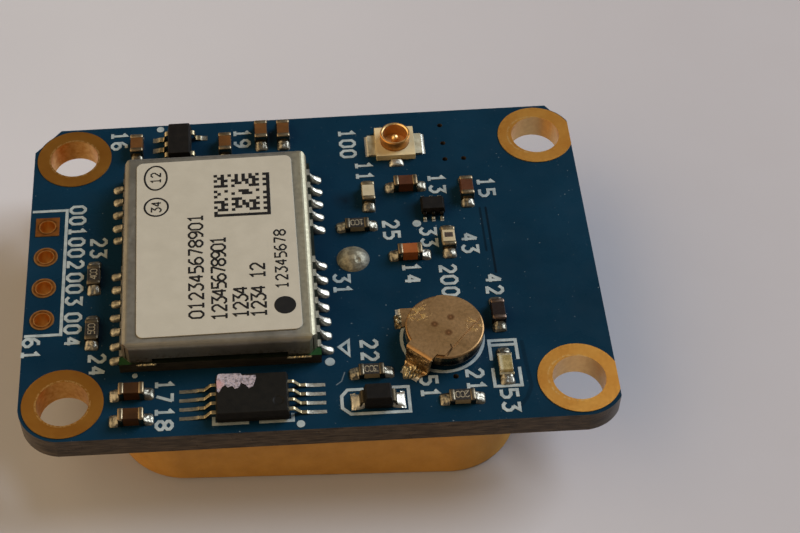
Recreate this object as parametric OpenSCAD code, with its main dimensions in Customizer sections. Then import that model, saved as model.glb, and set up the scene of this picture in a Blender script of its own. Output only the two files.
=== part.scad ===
// Satellite positioning module: a blue circuit board with a shielded receiver and its small parts on top,
// and a square ceramic antenna held under it by adhesive tape.
// The origin is under the middle of the board, on the antenna's lower face, with +Z up through the board.

/* [Circuit board] */
// Length of the board along X
board_length = 36.1; // [35.8:0.1:42]
// Width of the board along Y
board_width = 25.4; // [25.3:0.1:32]
// Thickness of the board
board_thick = 1.6; // [0.8:0.1:2.4]
// Thickness of the plating in the holes and on the lands
plating = 0.05; // [0.02:0.01:0.08]
// Diameter of a via
via_d = 0.35; // [0.2:0.05:0.5]

/* [Mounting holes] */
// Mean distance of the mounting holes from the short edges of the board
mount_edge_x = 2.5; // [2.2:0.05:2.7]
// Distance of the mounting holes from the long edges of the board
mount_edge_y = 2.7; // [2.3:0.05:3]
// Offset of the hole pattern from the middle of the board along X
mount_shift_x = 0.2; // [0:0.05:0.4]
// Diameter of a finished mounting hole
mount_hole_d = 3.2; // [2.2:0.1:3.4]
// Width of the plated land round a mounting hole
mount_land = 0.9; // [0.4:0.05:1]
// Width of the bare board left round a land at a far corner
land_border = 0.08; // [0.02:0.01:0.2]
// Where a far corner's cut starts on the far edge, measured outwards from the hole's axis
corner_cut_x = 1; // [0.2:0.05:1.6]
// Where a far corner's cut ends on a short edge, measured outwards from the hole's axis
corner_cut_y = 0.75; // [0.2:0.05:1.6]

/* [Pin header holes] */
// Number of header holes
header_pins = 4; // [2:1:5]
// Distance between the header holes
header_pitch = 2.54; // [2:0.01:2.6]
// Distance of the header holes from the left edge of the board
header_edge = 1.15; // [0.95:0.05:1.8]
// Offset of the row of header holes along Y
header_shift_y = 0.25; // [-0.8:0.05:0.8]
// Diameter of a finished header hole
header_hole_d = 1; // [0.7:0.05:1.1]
// Diameter of a header land
header_land_d = 1.55; // [1.3:0.05:1.8]
// Distance of the two header resistors from the left edge of the board
header_resistor_edge = 4.35; // [4:0.05:4.6]

/* [Antenna] */
// Side of the square ceramic
antenna_size = 25.2; // [18:0.1:25.6]
// Corner radius of the ceramic
antenna_corner_r = 4.5; // [1.5:0.1:6]
// Thickness of the ceramic
antenna_thick = 4; // [2:0.1:6]
// Angle at which the antenna was taped on
antenna_turn = -1.7; // [-2.5:0.1:2.5]
// Thickness of the silver electrodes
electrode_thick = 0.05; // [0.02:0.01:0.1]
// Width of the bare ceramic round the radiating patch
patch_margin = 2.3; // [1:0.1:4]
// Length of the two corner cuts of the radiating patch
patch_cut = 2.4; // [0.5:0.1:4]
// Thickness of the adhesive tape
tape_thick = 0.25; // [0.1:0.05:1]
// Distance of the tape from the edge of the ceramic
tape_margin = 1; // [0.6:0.1:1.4]
// Offset of the feed pin from the middle of the antenna along its own X
feed_offset_x = 2.68; // [2.4:0.02:3]
// Offset of the feed pin from the middle of the antenna along its own Y
feed_offset_y = -0.21; // [-0.6:0.01:0.4]
// Diameter of the feed pin
feed_pin_d = 0.8; // [0.5:0.05:1.2]
// Diameter of the feed pin's flat head
feed_head_d = 2.4; // [1.6:0.1:3]
// How far the feed pin stands out of the board
feed_pin_rise = 0.3; // [0.1:0.05:0.4]
// Radial clearance of the feed pin in the ceramic and the board
feed_clearance = 0.1; // [0.05:0.01:0.2]
// Radial gap between the feed pin and the ground electrode
ground_gap = 0.8; // [0.4:0.05:1.5]
// Diameter of the solder dome on the feed pin
feed_solder_d = 2.1; // [1.8:0.05:2.3]
// Height of the solder dome on the feed pin
feed_solder_h = 0.55; // [0.45:0.05:0.9]

/* [Receiver] */
// Width of the receiver's board along X
receiver_width = 12.3; // [11.6:0.1:12.5]
// Length of the receiver's board along Y
receiver_length = 15.7; // [15.7:0.1:16.4]
// Thickness of the receiver's board
receiver_thick = 0.8; // [0.6:0.05:1.2]
// Number of edge pads on one side, in the far group
pads_far = 5; // [3:1:5]
// Number of edge pads on one side, in the near group
pads_near = 7; // [4:1:7]
// Distance between edge pads
pad_pitch = 1.1; // [0.9:0.02:1.12]
// Distance of the first edge pad from the far end
pad_end = 0.85; // [0.6:0.05:1.2]
// Distance between the two groups of edge pads
pad_break = 3; // [1.2:0.1:3.1]
// Diameter of the half-round notch of an edge pad
pad_notch_d = 0.6; // [0.4:0.05:0.8]
// Width of the solder at an edge pad
pad_solder_width = 0.56; // [0.3:0.02:0.8]
// How far the solder of an edge pad reaches out on the board
pad_solder_reach = 0.72; // [0.3:0.02:0.76]
// How far the solder of an edge pad stays below the top of the receiver's board
pad_solder_drop = 0.1; // [0.02:0.02:0.3]
// Height of the shield above the receiver's board
shield_height = 1.6; // [1.4:0.05:2.4]
// Sheet thickness of the shield
shield_sheet = 0.2; // [0.1:0.02:0.3]
// Distance of the shield from the long edges of the receiver's board
shield_inset_x = 0.22; // [0.1:0.05:0.6]
// Distance of the shield from the short edges of the receiver's board
shield_inset_y = 0.12; // [0.1:0.05:0.6]
// Outside radius of the shield's bends
shield_bend_r = 0.4; // [0.32:0.02:0.6]
// Length of the cut that leaves the shield's folded corners open
shield_corner_cut = 0.46; // [0.44:0.02:1]
// Length of the feet at the ends of the shield's short walls
shield_foot = 1.8; // [0.6:0.1:3]
// Height of the slot between those feet
shield_slot = 0.3; // [0.1:0.05:0.6]
// Distance of the label from the long sides of the shield
label_margin_x = 0.9; // [0.5:0.02:2]
// Distance of the label from the short sides of the shield
label_margin_y = 0.64; // [0.5:0.02:2]
// Corner radius of the label
label_corner_r = 0.45; // [0.1:0.05:1]
// Thickness of the label
label_thick = 0.08; // [0.04:0.01:0.12]
// Angle at which the label was stuck on
label_turn = 0.6; // [-0.8:0.1:0.8]
// Side of the receiver chip under the shield
core_side = 7; // [5:0.1:8]
// Height of the receiver chip under the shield
core_height = 0.85; // [0.5:0.05:1]
// Length of the oscillator under the shield
oscillator_length = 2.5; // [2:0.1:3.2]
// Width of the oscillator under the shield
oscillator_width = 2; // [1.6:0.1:2.5]
// Height of the oscillator under the shield
oscillator_height = 0.8; // [0.5:0.05:1]
// Length of the aerial filter under the shield
filter_length = 1.4; // [1:0.1:2]
// Width of the aerial filter under the shield
filter_width = 1.1; // [0.8:0.1:1.6]
// Height of the aerial filter under the shield
filter_height = 0.5; // [0.3:0.05:0.8]

/* [Chip parts] */
// Length of a chip part
chip_length = 1.5; // [1.4:0.05:1.7]
// Width of a chip part
chip_width = 0.8; // [0.6:0.05:0.95]
// Height of a chip capacitor
capacitor_height = 0.76; // [0.4:0.02:0.9]
// Height of a chip resistor
resistor_height = 0.45; // [0.4:0.02:0.6]
// Height of a chip inductor
inductor_height = 0.65; // [0.4:0.05:0.9]
// Length of a metal end cap
end_cap = 0.32; // [0.2:0.02:0.5]
// Sheet thickness of a metal end cap
end_cap_thick = 0.04; // [0.02:0.01:0.06]
// How far the solder reaches out at the end of a chip part
chip_solder_reach = 0.56; // [0.2:0.02:0.6]
// How high the solder climbs at the end of a chip part
chip_solder_rise = 0.36; // [0.1:0.02:0.4]

/* [Light] */
// Height of the light's base
led_base_height = 0.2; // [0.15:0.01:0.4]
// Height of the light's lens
led_lens_height = 0.2; // [0.14:0.02:0.6]
// Length of the metal ends on the light's base
led_end = 0.14; // [0.1:0.02:0.4]
// Slope of the lens's ends
led_lens_draft = 0.08; // [0.02:0.01:0.15]

/* [Leaded parts] */
// Sheet thickness of the leads
lead_thick = 0.13; // [0.08:0.01:0.16]
// Depth of the leads inside a moulded body
lead_root = 0.3; // [0.15:0.05:0.4]
// Radius of a lead's bends, at the middle of the sheet
lead_bend_r = 0.13; // [0.1:0.01:0.16]
// Length of a short lead between the body and its first bend
lead_shoulder = 0.04; // [0.02:0.01:0.08]
// Slope of a short lead between its bends
lead_lean = 78; // [70:1:84]
// Clearance between a moulded body and the board
body_standoff = 0.1; // [0.04:0.02:0.2]
// Slope of a moulded body's sides, from the parting line to the top
body_draft = 0.1; // [0.04:0.01:0.16]
// Height of the parting line, as a part of the body's height
parting_share = 0.48; // [0.42:0.02:0.6]
// Height of the solder at a lead's tip
lead_solder_rise = 0.11; // [0.05:0.01:0.13]

/* [Memory] */
// Width of the memory's body along X
memory_width = 4.4; // [4:0.1:4.6]
// Length of the memory's body along Y
memory_length = 3; // [2.7:0.1:3.2]
// Height of the memory's body
memory_height = 0.9; // [0.7:0.05:1.2]
// Distance between the memory's lead tips
memory_span = 6.5; // [6.2:0.1:7]
// Distance between the memory's leads
memory_pitch = 0.65; // [0.5:0.01:0.7]
// Number of the memory's leads on one side
memory_leads_side = 4; // [2:1:4]
// Length of a memory lead between the body and its first bend
memory_shoulder = 0.2; // [0.1:0.02:0.3]
// Slope of a memory lead between its bends
memory_lean = 50; // [45:1:75]
// Width of a memory lead
memory_lead_width = 0.24; // [0.15:0.01:0.32]
// Length of the solder in front of a memory lead
memory_solder = 1.15; // [0.3:0.05:1.2]

/* [Regulator] */
// Width of the regulator's body along X
regulator_width = 1.6; // [1.4:0.05:1.8]
// Length of the regulator's body along Y
regulator_length = 2.9; // [2.6:0.1:3.2]
// Height of the regulator's body
regulator_height = 1.1; // [0.8:0.05:1.4]
// Distance between the regulator's lead tips
regulator_span = 2.8; // [2.7:0.1:3.2]
// Distance between neighbouring leads of the regulator
regulator_pitch = 0.95; // [0.8:0.05:1]
// Width of a regulator lead
regulator_lead_width = 0.4; // [0.25:0.05:0.5]
// Length of the solder in front of a regulator lead
regulator_solder = 0.45; // [0.2:0.05:0.5]

/* [Amplifier] */
// Length of the amplifier's body along X
amplifier_length = 1.55; // [1.5:0.05:2.1]
// Width of the amplifier's body along Y
amplifier_width = 1.2; // [1.1:0.05:1.3]
// Height of the amplifier's body
amplifier_height = 0.55; // [0.5:0.05:1.1]
// Distance between the amplifier's lead tips
amplifier_span = 2; // [1.95:0.05:2.2]
// Distance between neighbouring leads of the amplifier
amplifier_pitch = 0.55; // [0.5:0.01:0.65]
// Width of an amplifier lead
amplifier_lead_width = 0.22; // [0.15:0.01:0.3]
// Length of the solder in front of an amplifier lead
amplifier_solder = 0.1; // [0.05:0.01:0.14]

/* [Diode] */
// Length of the diode's body along X
diode_length = 1.7; // [1.5:0.05:1.85]
// Width of the diode's body along Y
diode_width = 1.3; // [1.15:0.05:1.5]
// Height of the diode's body
diode_height = 1; // [0.8:0.05:1.2]
// Distance between the tips of the diode's terminals
diode_span = 2.7; // [2.6:0.05:2.9]
// Width of a diode terminal
diode_lead_width = 0.9; // [0.4:0.05:1.1]
// Width of the solder at a diode terminal
diode_solder_width = 1.2; // [0.9:0.05:1.4]
// Length of the solder in front of a diode terminal
diode_solder = 0.28; // [0.1:0.02:0.34]

/* [Coaxial connector] */
// Side of the connector's square base
coax_base_side = 2.6; // [2.4:0.05:2.8]
// Height of the connector's base
coax_base_height = 0.47; // [0.36:0.01:0.6]
// Outside diameter of the connector's ring
coax_ring_d = 2; // [1.8:0.05:2.2]
// Wall of the connector's ring
coax_ring_wall = 0.18; // [0.16:0.02:0.3]
// Height of the connector's ring above the board
coax_ring_height = 1.25; // [1.1:0.05:1.5]
// Length of the edge break on the ring
coax_edge = 0.06; // [0.03:0.01:0.1]
// Depth of the snap groove round the ring
coax_groove_depth = 0.08; // [0.03:0.01:0.1]
// Height of the snap groove above the base
coax_groove_height = 0.2; // [0.1:0.02:0.3]
// Diameter of the connector's centre contact
coax_pin_d = 0.5; // [0.3:0.05:0.6]
// Height of the connector's centre contact above the board
coax_pin_height = 1; // [0.8:0.05:1.1]
// Sheet thickness of the connector's tails
coax_sheet = 0.15; // [0.1:0.01:0.2]
// Distance between the tips of the ground tails
coax_tail_span = 3.6; // [3.2:0.05:3.8]
// Width of the ground tails
coax_tail_width = 1.8; // [1.2:0.05:2.2]
// Width of the signal tail
coax_signal_width = 0.7; // [0.4:0.05:0.7]
// How far the signal tail stands out in front of the base
coax_signal_reach = 0.4; // [0.2:0.05:0.6]
// Clearance between the signal tail and the ground tails
coax_gap = 0.15; // [0.1:0.01:0.2]
// Length of the solder at a tail
coax_solder = 0.2; // [0.1:0.02:0.3]

/* [Backup cell] */
// Diameter of the cell
cell_d = 4.8; // [4:0.1:5]
// Height of the cell
cell_height = 1.2; // [1:0.05:1.8]
// Radius of the crimp at the cell's lower rim
cell_crimp_r = 0.4; // [0.2:0.02:0.5]
// Radius of the cell's upper edge
cell_edge_r = 0.12; // [0.05:0.01:0.2]
// Diameter of the cell's lower cap
cell_cap_d = 3.5; // [2.8:0.1:3.8]
// Height of the cell's lower cap below the crimp
cell_cap_drop = 0.08; // [0.03:0.01:0.15]
// Sheet thickness of the cell's tabs
tab_thick = 0.12; // [0.08:0.01:0.2]
// Width of the upper tab on the cell
upper_tab_width = 3.05; // [2.4:0.05:3.4]
// Sideways offset of the upper tab from the middle of the cell
upper_tab_shift = -0.18; // [-0.3:0.02:0.3]
// Direction of the upper tab's leg
upper_tab_turn = 228.5; // [225:0.5:232]
// Width of the upper tab's leg
upper_leg_width = 1.85; // [1.2:0.05:1.9]
// Width of the leg's foot
upper_foot_width = 1.2; // [0.8:0.05:1.2]
// Overlap of the leg with the tab on the cell
upper_leg_root = 0.5; // [0.3:0.05:1]
// Length of the leg between the edge of the cell and its first bend
upper_leg_shoulder = 0.05; // [0.02:0.01:0.1]
// Radius of the leg's bends, at the middle of the sheet
upper_leg_bend_r = 0.2; // [0.15:0.01:0.25]
// Slope of the leg between its bends
upper_leg_lean = 82; // [72:1:84]
// Distance of the foot's tip from the edge of the cell
upper_leg_reach = 0.95; // [0.85:0.05:1.2]
// Width of the lower tab
lower_tab_width = 1.4; // [0.8:0.05:1.5]
// Offset of the lower tab from the middle of the cell along Y
lower_tab_shift = 1.7; // [1.2:0.05:1.75]
// Distance of the lower tab's tip from the middle of the cell
lower_tab_reach = 2.5; // [2.3:0.05:2.6]
// Length of the solder at a tab's tip
tab_solder = 0.3; // [0.15:0.01:0.34]
// Height of the solder at a tab's tip
tab_solder_rise = 0.11; // [0.04:0.01:0.12]

/* [Layout] */
// Middle of the antenna
antenna_place = [0.15, 0.35]; // [-1:0.05:1]
// Middle of the receiver
receiver_place = [-5.75, -0.05]; // [-6:0.05:0]
// Middle of the memory
memory_place = [-3.9, -10.55]; // [-12:0.05:0]
// Middle of the regulator
regulator_place = [-8.2, 10.35]; // [-9:0.05:11]
// Middle of the amplifier
amplifier_place = [8.25, 3.95]; // [3:0.05:9]
// Middle of the diode
diode_place = [3.6, -10.95]; // [-12:0.05:4]
// Middle of the light
led_place = [11.45, -8.9]; // [-9:0.05:12]
// Middle of the coaxial connector
coax_place = [6.25, 9.7]; // [6:0.05:10]
// Middle of the backup cell
cell_place = [7.95, -6.6]; // [-7:0.05:8]

/* [Hidden] */
$fn = 48;
arc_steps = 6;
overcut = 1;
flat = 0.02;

// Places of the chip parts on the board: X, Y and the turn of the long side
header_resistor_x = header_resistor_edge - board_length / 2;
capacitor_places = [
    [-11.1, 10.5, 90],
    [-5.15, 10.25, 90],
    [-2.7, 11.2, 90],
    [-1.2, 11.15, 90],
    [6.65, 5.9, 0],
    [10.6, 5.2, 90],
    [6.45, 0.1, 0],
    [-11.15, -9.6, 0],
    [-11.15, -11.45, 0]
];
resistor_places = [
    [3.25, 2.7, 0],
    [8.6, -11.1, 0],
    [3.35, -8.9, 0],
    [header_resistor_x, -0.45, 90],
    [header_resistor_x, -4.8, 90]
];
inductor_places = [
    [4.15, 5.25, 90],
    [9, 1.05, 90],
    [11.45, -5, 90]
];
via_places = [
    [9.45, 11.35],
    [9.5, 9.7],
    [9.5, 8.25],
    [10.75, 8.25],
    [8.4, -9.45]
];
// Places of the pieces under the shield, from the middle of the receiver
core_place = [0, -2.2];
oscillator_place = [2.4, 4.6];
filter_place = [-2.6, 4.8];

// Levels of the stack, from the antenna's lower face up
ceramic_bottom = electrode_thick;
ceramic_top = ceramic_bottom + antenna_thick;
ground_top = ceramic_top + electrode_thick;
board_bottom = ground_top + tape_thick;
board_top = board_bottom + board_thick;

// Mounting holes and the board's corners: cut at the far edge, round about the holes at the near edge
mount_r = mount_hole_d / 2;
land_r = mount_r + mount_land;
near_corner_r = mount_edge_y + flat;
function mount_x(side) = mount_shift_x + side * (board_length / 2 - mount_edge_x);
function mount_y(side) = side * (board_width / 2 - mount_edge_y);
mount_places = [for (sx = [-1, 1], sy = [-1, 1]) [mount_x(sx), mount_y(sy)]];
function cut_start(sx, sy) = [mount_x(sx) + sx * (sy > 0 ? corner_cut_x : 0), sy * board_width / 2];
function cut_end(sx, sy) = [sx * board_length / 2, mount_y(sy) + (sy > 0 ? corner_cut_y : 0)];
cut_outline = [
    cut_start(1, -1), cut_end(1, -1),
    cut_end(1, 1), cut_start(1, 1),
    cut_start(-1, 1), cut_end(-1, 1),
    cut_end(-1, -1), cut_start(-1, -1)
];

// Header holes, the first at the far end
header_x = header_edge - board_length / 2;
function header_y(pin) = header_shift_y + header_pitch * ((header_pins - 1) / 2 - pin);

// Place of the feed pin on the board
function turned(p, a) = [p.x * cos(a) - p.y * sin(a), p.x * sin(a) + p.y * cos(a)];
feed_place = antenna_place + turned([feed_offset_x, feed_offset_y], antenna_turn);

// Receiver
pads_side = pads_far + pads_near;
function pad_step(k) = k * pad_pitch + (k < pads_far ? 0 : pad_break - pad_pitch);
function pad_y(k) = receiver_length / 2 - pad_end - pad_step(k);
receiver_top = board_top + receiver_thick;
shield_width = receiver_width - 2 * shield_inset_x;
shield_length = receiver_length - 2 * shield_inset_y;

// Chip parts
chip_end = chip_length / 2 + end_cap_thick;
chip_breadth = chip_width + 2 * end_cap_thick;

// Backup cell
cell_bottom = board_top + tab_thick;
cell_top = cell_bottom + cell_height;

// Points of a circle's arc
function arc(middle, r, from, to) =
    [for (k = [0:arc_steps]) let (a = from + (to - from) * k / arc_steps) middle + r * [cos(a), sin(a)]];

// Outline of a sheet of even thickness that follows a path
function direction(path, k) =
    let (d = path[min(k + 1, len(path) - 1)] - path[max(k - 1, 0)]) d / norm(d);
function ribbon(path, thick) =
    let (last = len(path) - 1)
    concat(
        [for (k = [0:last]) let (d = direction(path, k)) path[k] + thick / 2 * [-d.y, d.x]],
        [for (k = [last:-1:0]) let (d = direction(path, k)) path[k] + thick / 2 * [d.y, -d.x]]
    );

// Path of a lead that leaves at a height, bends down to the board and runs flat to its tip
function lead_path(root, shoulder, tip, height, thick, bend_r, lean) =
    let (
        drop = height - thick / 2 - 2 * bend_r * (1 - cos(lean)),
        foot = shoulder + 2 * bend_r * sin(lean) + drop / tan(lean)
    )
    concat(
        [[root, height]],
        arc([shoulder, height - bend_r], bend_r, 90, 90 - lean),
        arc([foot, thick / 2 + bend_r], bend_r, 270 - lean, 270),
        [[tip, thick / 2]]
    );

// Section of a solder fillet, concave from the wall down to its toe
function fillet_section(reach, rise) =
    concat(
        [[0, 0], [reach, 0]],
        [for (k = [0:arc_steps]) let (a = 90 * k / arc_steps)
            [reach * (1 - sin(a)), flat + (rise - flat) * (1 - cos(a))]]
    );

// Section of a moulded body, widest at its parting line
function moulded_section(width, height) =
    let (w = width / 2, low = body_draft / 2, part = height * parting_share)
    [[low - w, 0], [w - low, 0], [w, part], [w - body_draft, height], [body_draft - w, height], [-w, part]];

// Section of a folded cover, with round bends at the top
function folded_section(width, height, r) =
    concat(
        [[-width / 2, 0], [width / 2, 0]],
        arc([width / 2 - r, height - r], r, 0, 90),
        arc([r - width / 2, height - r], r, 90, 180)
    );

// Square outline with two opposite corners cut off
function cut_square(side, cut) =
    let (h = side / 2)
    [[-h, -h], [h - cut, -h], [h, cut - h], [h, h], [cut - h, h], [-h, h - cut]];

// Rectangle with all four corners cut off
function cut_rectangle(width, length, cut) =
    let (w = width / 2, l = length / 2)
    [[cut - w, -l], [w - cut, -l], [w, cut - l], [w, l - cut], [w - cut, l], [cut - w, l], [-w, l - cut], [-w, cut - l]];

// Extrudes a section drawn in X and Z along Y
module along_y(length) {
    rotate([90, 0, 0])
        linear_extrude(length, center = true)
            children();
}

// Extrudes a section drawn in Y and Z along X
module along_x(length) {
    rotate([90, 0, 90])
        linear_extrude(length, center = true)
            children();
}

// Solid whose front view and side view are the two given sections
module two_view_solid(front, side, width, length) {
    intersection() {
        along_y(length)
            polygon(front);
        along_x(width)
            polygon(side);
    }
}

module rounded_outline(width, length, r) {
    square([width - 2 * r, length], center = true);
    square([width, length - 2 * r], center = true);
    for (sx = [-1, 1], sy = [-1, 1])
        translate([sx * (width / 2 - r), sy * (length / 2 - r)])
            circle(r);
}

module on_board(place, turn = 0) {
    translate([place.x, place.y, board_top])
        rotate(turn)
            children();
}

module solder_fillet(reach, rise, width) {
    along_y(width)
        polygon(fillet_section(reach, rise));
}

// Board

module board_outline() {
    intersection() {
        square([board_length, board_width], center = true);
        union() {
            polygon(cut_outline);
            for (p = mount_places)
                translate(p)
                    circle(p.y > 0 ? land_r + land_border : near_corner_r);
        }
    }
}

module through_board(place, d) {
    translate([place.x, place.y, board_bottom - overcut])
        cylinder(d = d, h = board_thick + 2 * overcut);
}

module circuit_board() {
    color("#12395f")
        difference() {
            translate([0, 0, board_bottom])
                linear_extrude(board_thick)
                    board_outline();
            for (p = mount_places)
                through_board(p, mount_hole_d + 2 * plating);
            for (pin = [0:header_pins - 1])
                through_board([header_x, header_y(pin)], header_hole_d + 2 * plating);
            for (p = via_places)
                through_board(p, via_d);
            through_board(feed_place, feed_pin_d + 2 * feed_clearance);
        }
}

// Plated barrel with a land, given as its outline, on each face of the board
module eyelet(place, hole_d) {
    difference() {
        union() {
            translate([place.x, place.y, board_bottom])
                cylinder(d = hole_d + 2 * plating, h = board_thick);
            for (level = [board_bottom - plating, board_top])
                translate([0, 0, level])
                    linear_extrude(plating)
                        children();
        }
        through_board(place, hole_d);
    }
}

module mounting_eyelets() {
    color("#c8933c")
        for (p = mount_places)
            eyelet(p, mount_hole_d)
                intersection() {
                    translate(p)
                        circle(land_r);
                    board_outline();
                }
}

module header_eyelets() {
    color("#b8742e")
        for (pin = [0:header_pins - 1])
            eyelet([header_x, header_y(pin)], header_hole_d)
                translate([header_x, header_y(pin)])
                    if (pin == 0)
                        square(header_land_d, center = true);
                    else
                        circle(d = header_land_d);
}

// Antenna

module in_antenna(level) {
    translate([antenna_place.x, antenna_place.y, level])
        rotate(antenna_turn)
            children();
}

module feed_hole(d) {
    translate([feed_offset_x, feed_offset_y])
        circle(d = d);
}

module antenna_ceramic() {
    color("#d9a545")
        in_antenna(ceramic_bottom)
            linear_extrude(antenna_thick)
                difference() {
                    rounded_outline(antenna_size, antenna_size, antenna_corner_r);
                    feed_hole(feed_pin_d + 2 * feed_clearance);
                }
}

module antenna_patch() {
    color("#c9c7c0")
        in_antenna(0)
            linear_extrude(electrode_thick)
                difference() {
                    polygon(cut_square(antenna_size - 2 * patch_margin, patch_cut));
                    feed_hole(feed_head_d);
                }
}

module antenna_ground() {
    color("#c9c7c0")
        in_antenna(ceramic_top)
            linear_extrude(electrode_thick)
                difference() {
                    rounded_outline(antenna_size, antenna_size, antenna_corner_r);
                    feed_hole(feed_pin_d + 2 * ground_gap);
                }
}

module antenna_tape() {
    tape_size = antenna_size - 2 * tape_margin;
    color("#e8e4d8")
        in_antenna(ground_top)
            linear_extrude(tape_thick)
                difference() {
                    rounded_outline(tape_size, tape_size, antenna_corner_r - tape_margin);
                    feed_hole(feed_pin_d + 2 * ground_gap);
                }
}

module antenna_feed_pin() {
    color("#bfb8a6")
        translate([feed_place.x, feed_place.y, 0]) {
            cylinder(d = feed_head_d, h = electrode_thick);
            cylinder(d = feed_pin_d, h = board_top + feed_pin_rise);
        }
}

module antenna_feed_solder() {
    base_r = feed_solder_d / 2;
    dome_r = (base_r * base_r + feed_solder_h * feed_solder_h) / (2 * feed_solder_h);
    color("#d8d5cc")
        difference() {
            on_board(feed_place)
                intersection() {
                    translate([0, 0, feed_solder_h - dome_r])
                        sphere(dome_r);
                    cylinder(r = base_r + overcut, h = feed_solder_h + overcut);
                }
            antenna_feed_pin();
        }
}

// Receiver

module in_receiver(level, place = [0, 0]) {
    translate([receiver_place.x + place.x, receiver_place.y + place.y, level])
        children();
}

module at_pads() {
    for (side = [0, 1], k = [0:pads_side - 1])
        translate([(side - 0.5) * receiver_width, pad_y(k), 0])
            rotate(180 * (1 - side))
                children();
}

module receiver_board() {
    color("#1f4a2c")
        in_receiver(board_top)
            linear_extrude(receiver_thick)
                difference() {
                    square([receiver_width, receiver_length], center = true);
                    at_pads()
                        circle(d = pad_notch_d);
                }
}

// Solder that fills the notches of the edge pads and runs out on the board
module receiver_solder() {
    rise = receiver_thick - pad_solder_drop;
    color("#d8d5cc")
        in_receiver(board_top)
            at_pads() {
                solder_fillet(pad_solder_reach, rise, pad_solder_width);
                intersection() {
                    cylinder(d = pad_notch_d, h = rise);
                    translate([-pad_notch_d, -pad_notch_d / 2, 0])
                        cube([pad_notch_d, pad_notch_d, rise]);
                }
            }
}

module folded_block(width, length, height, r) {
    two_view_solid(
        folded_section(width, height, r),
        folded_section(length, height, r),
        width,
        length
    );
}

// Sheet cover with four folded walls, open at its corners and raised between its feet
module receiver_shield() {
    slot_width = shield_width - 2 * shield_foot;
    color("#a9a69c")
        in_receiver(receiver_top)
            difference() {
                intersection() {
                    folded_block(shield_width, shield_length, shield_height, shield_bend_r);
                    linear_extrude(shield_height)
                        polygon(cut_rectangle(shield_width, shield_length, shield_corner_cut));
                }
                folded_block(
                    shield_width - 2 * shield_sheet,
                    shield_length - 2 * shield_sheet,
                    shield_height - shield_sheet,
                    shield_bend_r - shield_sheet
                );
                translate([-slot_width / 2, -receiver_length / 2, 0])
                    cube([slot_width, receiver_length, shield_slot]);
            }
}

module receiver_label() {
    color("#d9d4c4")
        in_receiver(receiver_top + shield_height)
            rotate(label_turn)
                linear_extrude(label_thick)
                    rounded_outline(
                        shield_width - 2 * label_margin_x,
                        shield_length - 2 * label_margin_y,
                        label_corner_r
                    );
}

module receiver_chip() {
    color("#2a2a2c")
        in_receiver(receiver_top, core_place)
            linear_extrude(core_height)
                square(core_side, center = true);
}

module receiver_oscillator() {
    color("#b9b4a4")
        in_receiver(receiver_top, oscillator_place)
            linear_extrude(oscillator_height)
                square([oscillator_length, oscillator_width], center = true);
}

module receiver_filter() {
    color("#cfc8b8")
        in_receiver(receiver_top, filter_place)
            linear_extrude(filter_height)
                square([filter_length, filter_width], center = true);
}

// Chip parts

module at_places(places) {
    for (p = places)
        on_board(p, p.z)
            children();
}

module chip_block(height) {
    translate([-chip_length / 2, -chip_width / 2, end_cap_thick])
        cube([chip_length, chip_width, height]);
}

module chip_caps(height, cap = end_cap) {
    cap_span = cap + end_cap_thick;
    difference() {
        for (side = [-1, 1])
            translate([side * (chip_end - cap_span / 2), 0, 0])
                linear_extrude(height + 2 * end_cap_thick)
                    square([cap_span, chip_breadth], center = true);
        chip_block(height);
    }
}

module chip_solder_pair(rise = chip_solder_rise) {
    for (side = [0, 180])
        rotate(side)
            translate([chip_end, 0, 0])
                solder_fillet(chip_solder_reach, rise, chip_breadth);
}

module capacitor(place) {
    color("#7a4a24")
        at_places([place])
            chip_block(capacitor_height);
}

module resistor(place) {
    color("#26231f")
        at_places([place])
            chip_block(resistor_height);
}

module inductor(place) {
    color("#cfcabc")
        at_places([place])
            chip_block(inductor_height);
}

module capacitor_end_caps() {
    color("#c9c3b2")
        at_places(capacitor_places)
            chip_caps(capacitor_height);
}

module resistor_end_caps() {
    color("#c9c3b2")
        at_places(resistor_places)
            chip_caps(resistor_height);
}

module inductor_end_caps() {
    color("#c9c3b2")
        at_places(inductor_places)
            chip_caps(inductor_height);
}

module chip_solder() {
    color("#d8d5cc") {
        at_places(concat(capacitor_places, resistor_places, inductor_places))
            chip_solder_pair();
        on_board(led_place, 90)
            chip_solder_pair(led_base_height);
    }
}

// Light

module led_base() {
    color("#e6e2d2")
        on_board(led_place, 90)
            chip_block(led_base_height);
}

module led_terminals() {
    color("#c9c3b2")
        on_board(led_place, 90)
            chip_caps(led_base_height, led_end);
}

module led_lens() {
    half = chip_length / 2 - led_end;
    color("#d8cf9a")
        on_board(led_place, 90)
            translate([0, 0, led_base_height + end_cap_thick])
                along_y(chip_width)
                    polygon([
                        [-half, 0],
                        [half, 0],
                        [half - led_lens_draft, led_lens_height],
                        [led_lens_draft - half, led_lens_height]
                    ]);
}

// Leaded parts

module moulded_body(width, length, height) {
    translate([0, 0, body_standoff])
        two_view_solid(
            moulded_section(width, height),
            moulded_section(length, height),
            width,
            length
        );
}

// One lead on the +X side of a moulded body
module lead(body_width, body_height, span, lead_width, shoulder = lead_shoulder, lean = lead_lean) {
    along_y(lead_width)
        polygon(ribbon(
            lead_path(
                body_width / 2 - lead_root,
                body_width / 2 + shoulder,
                span / 2,
                body_standoff + body_height * parting_share,
                lead_thick,
                lead_bend_r,
                lean
            ),
            lead_thick
        ));
}

// Places its children at the leads of one side, given as offsets along that side
module at_leads(offsets, side = 0) {
    for (d = offsets)
        rotate(side)
            translate([0, d, 0])
                children();
}
function even_row(count, pitch) = [for (k = [0:count - 1]) (k - (count - 1) / 2) * pitch];

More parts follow.
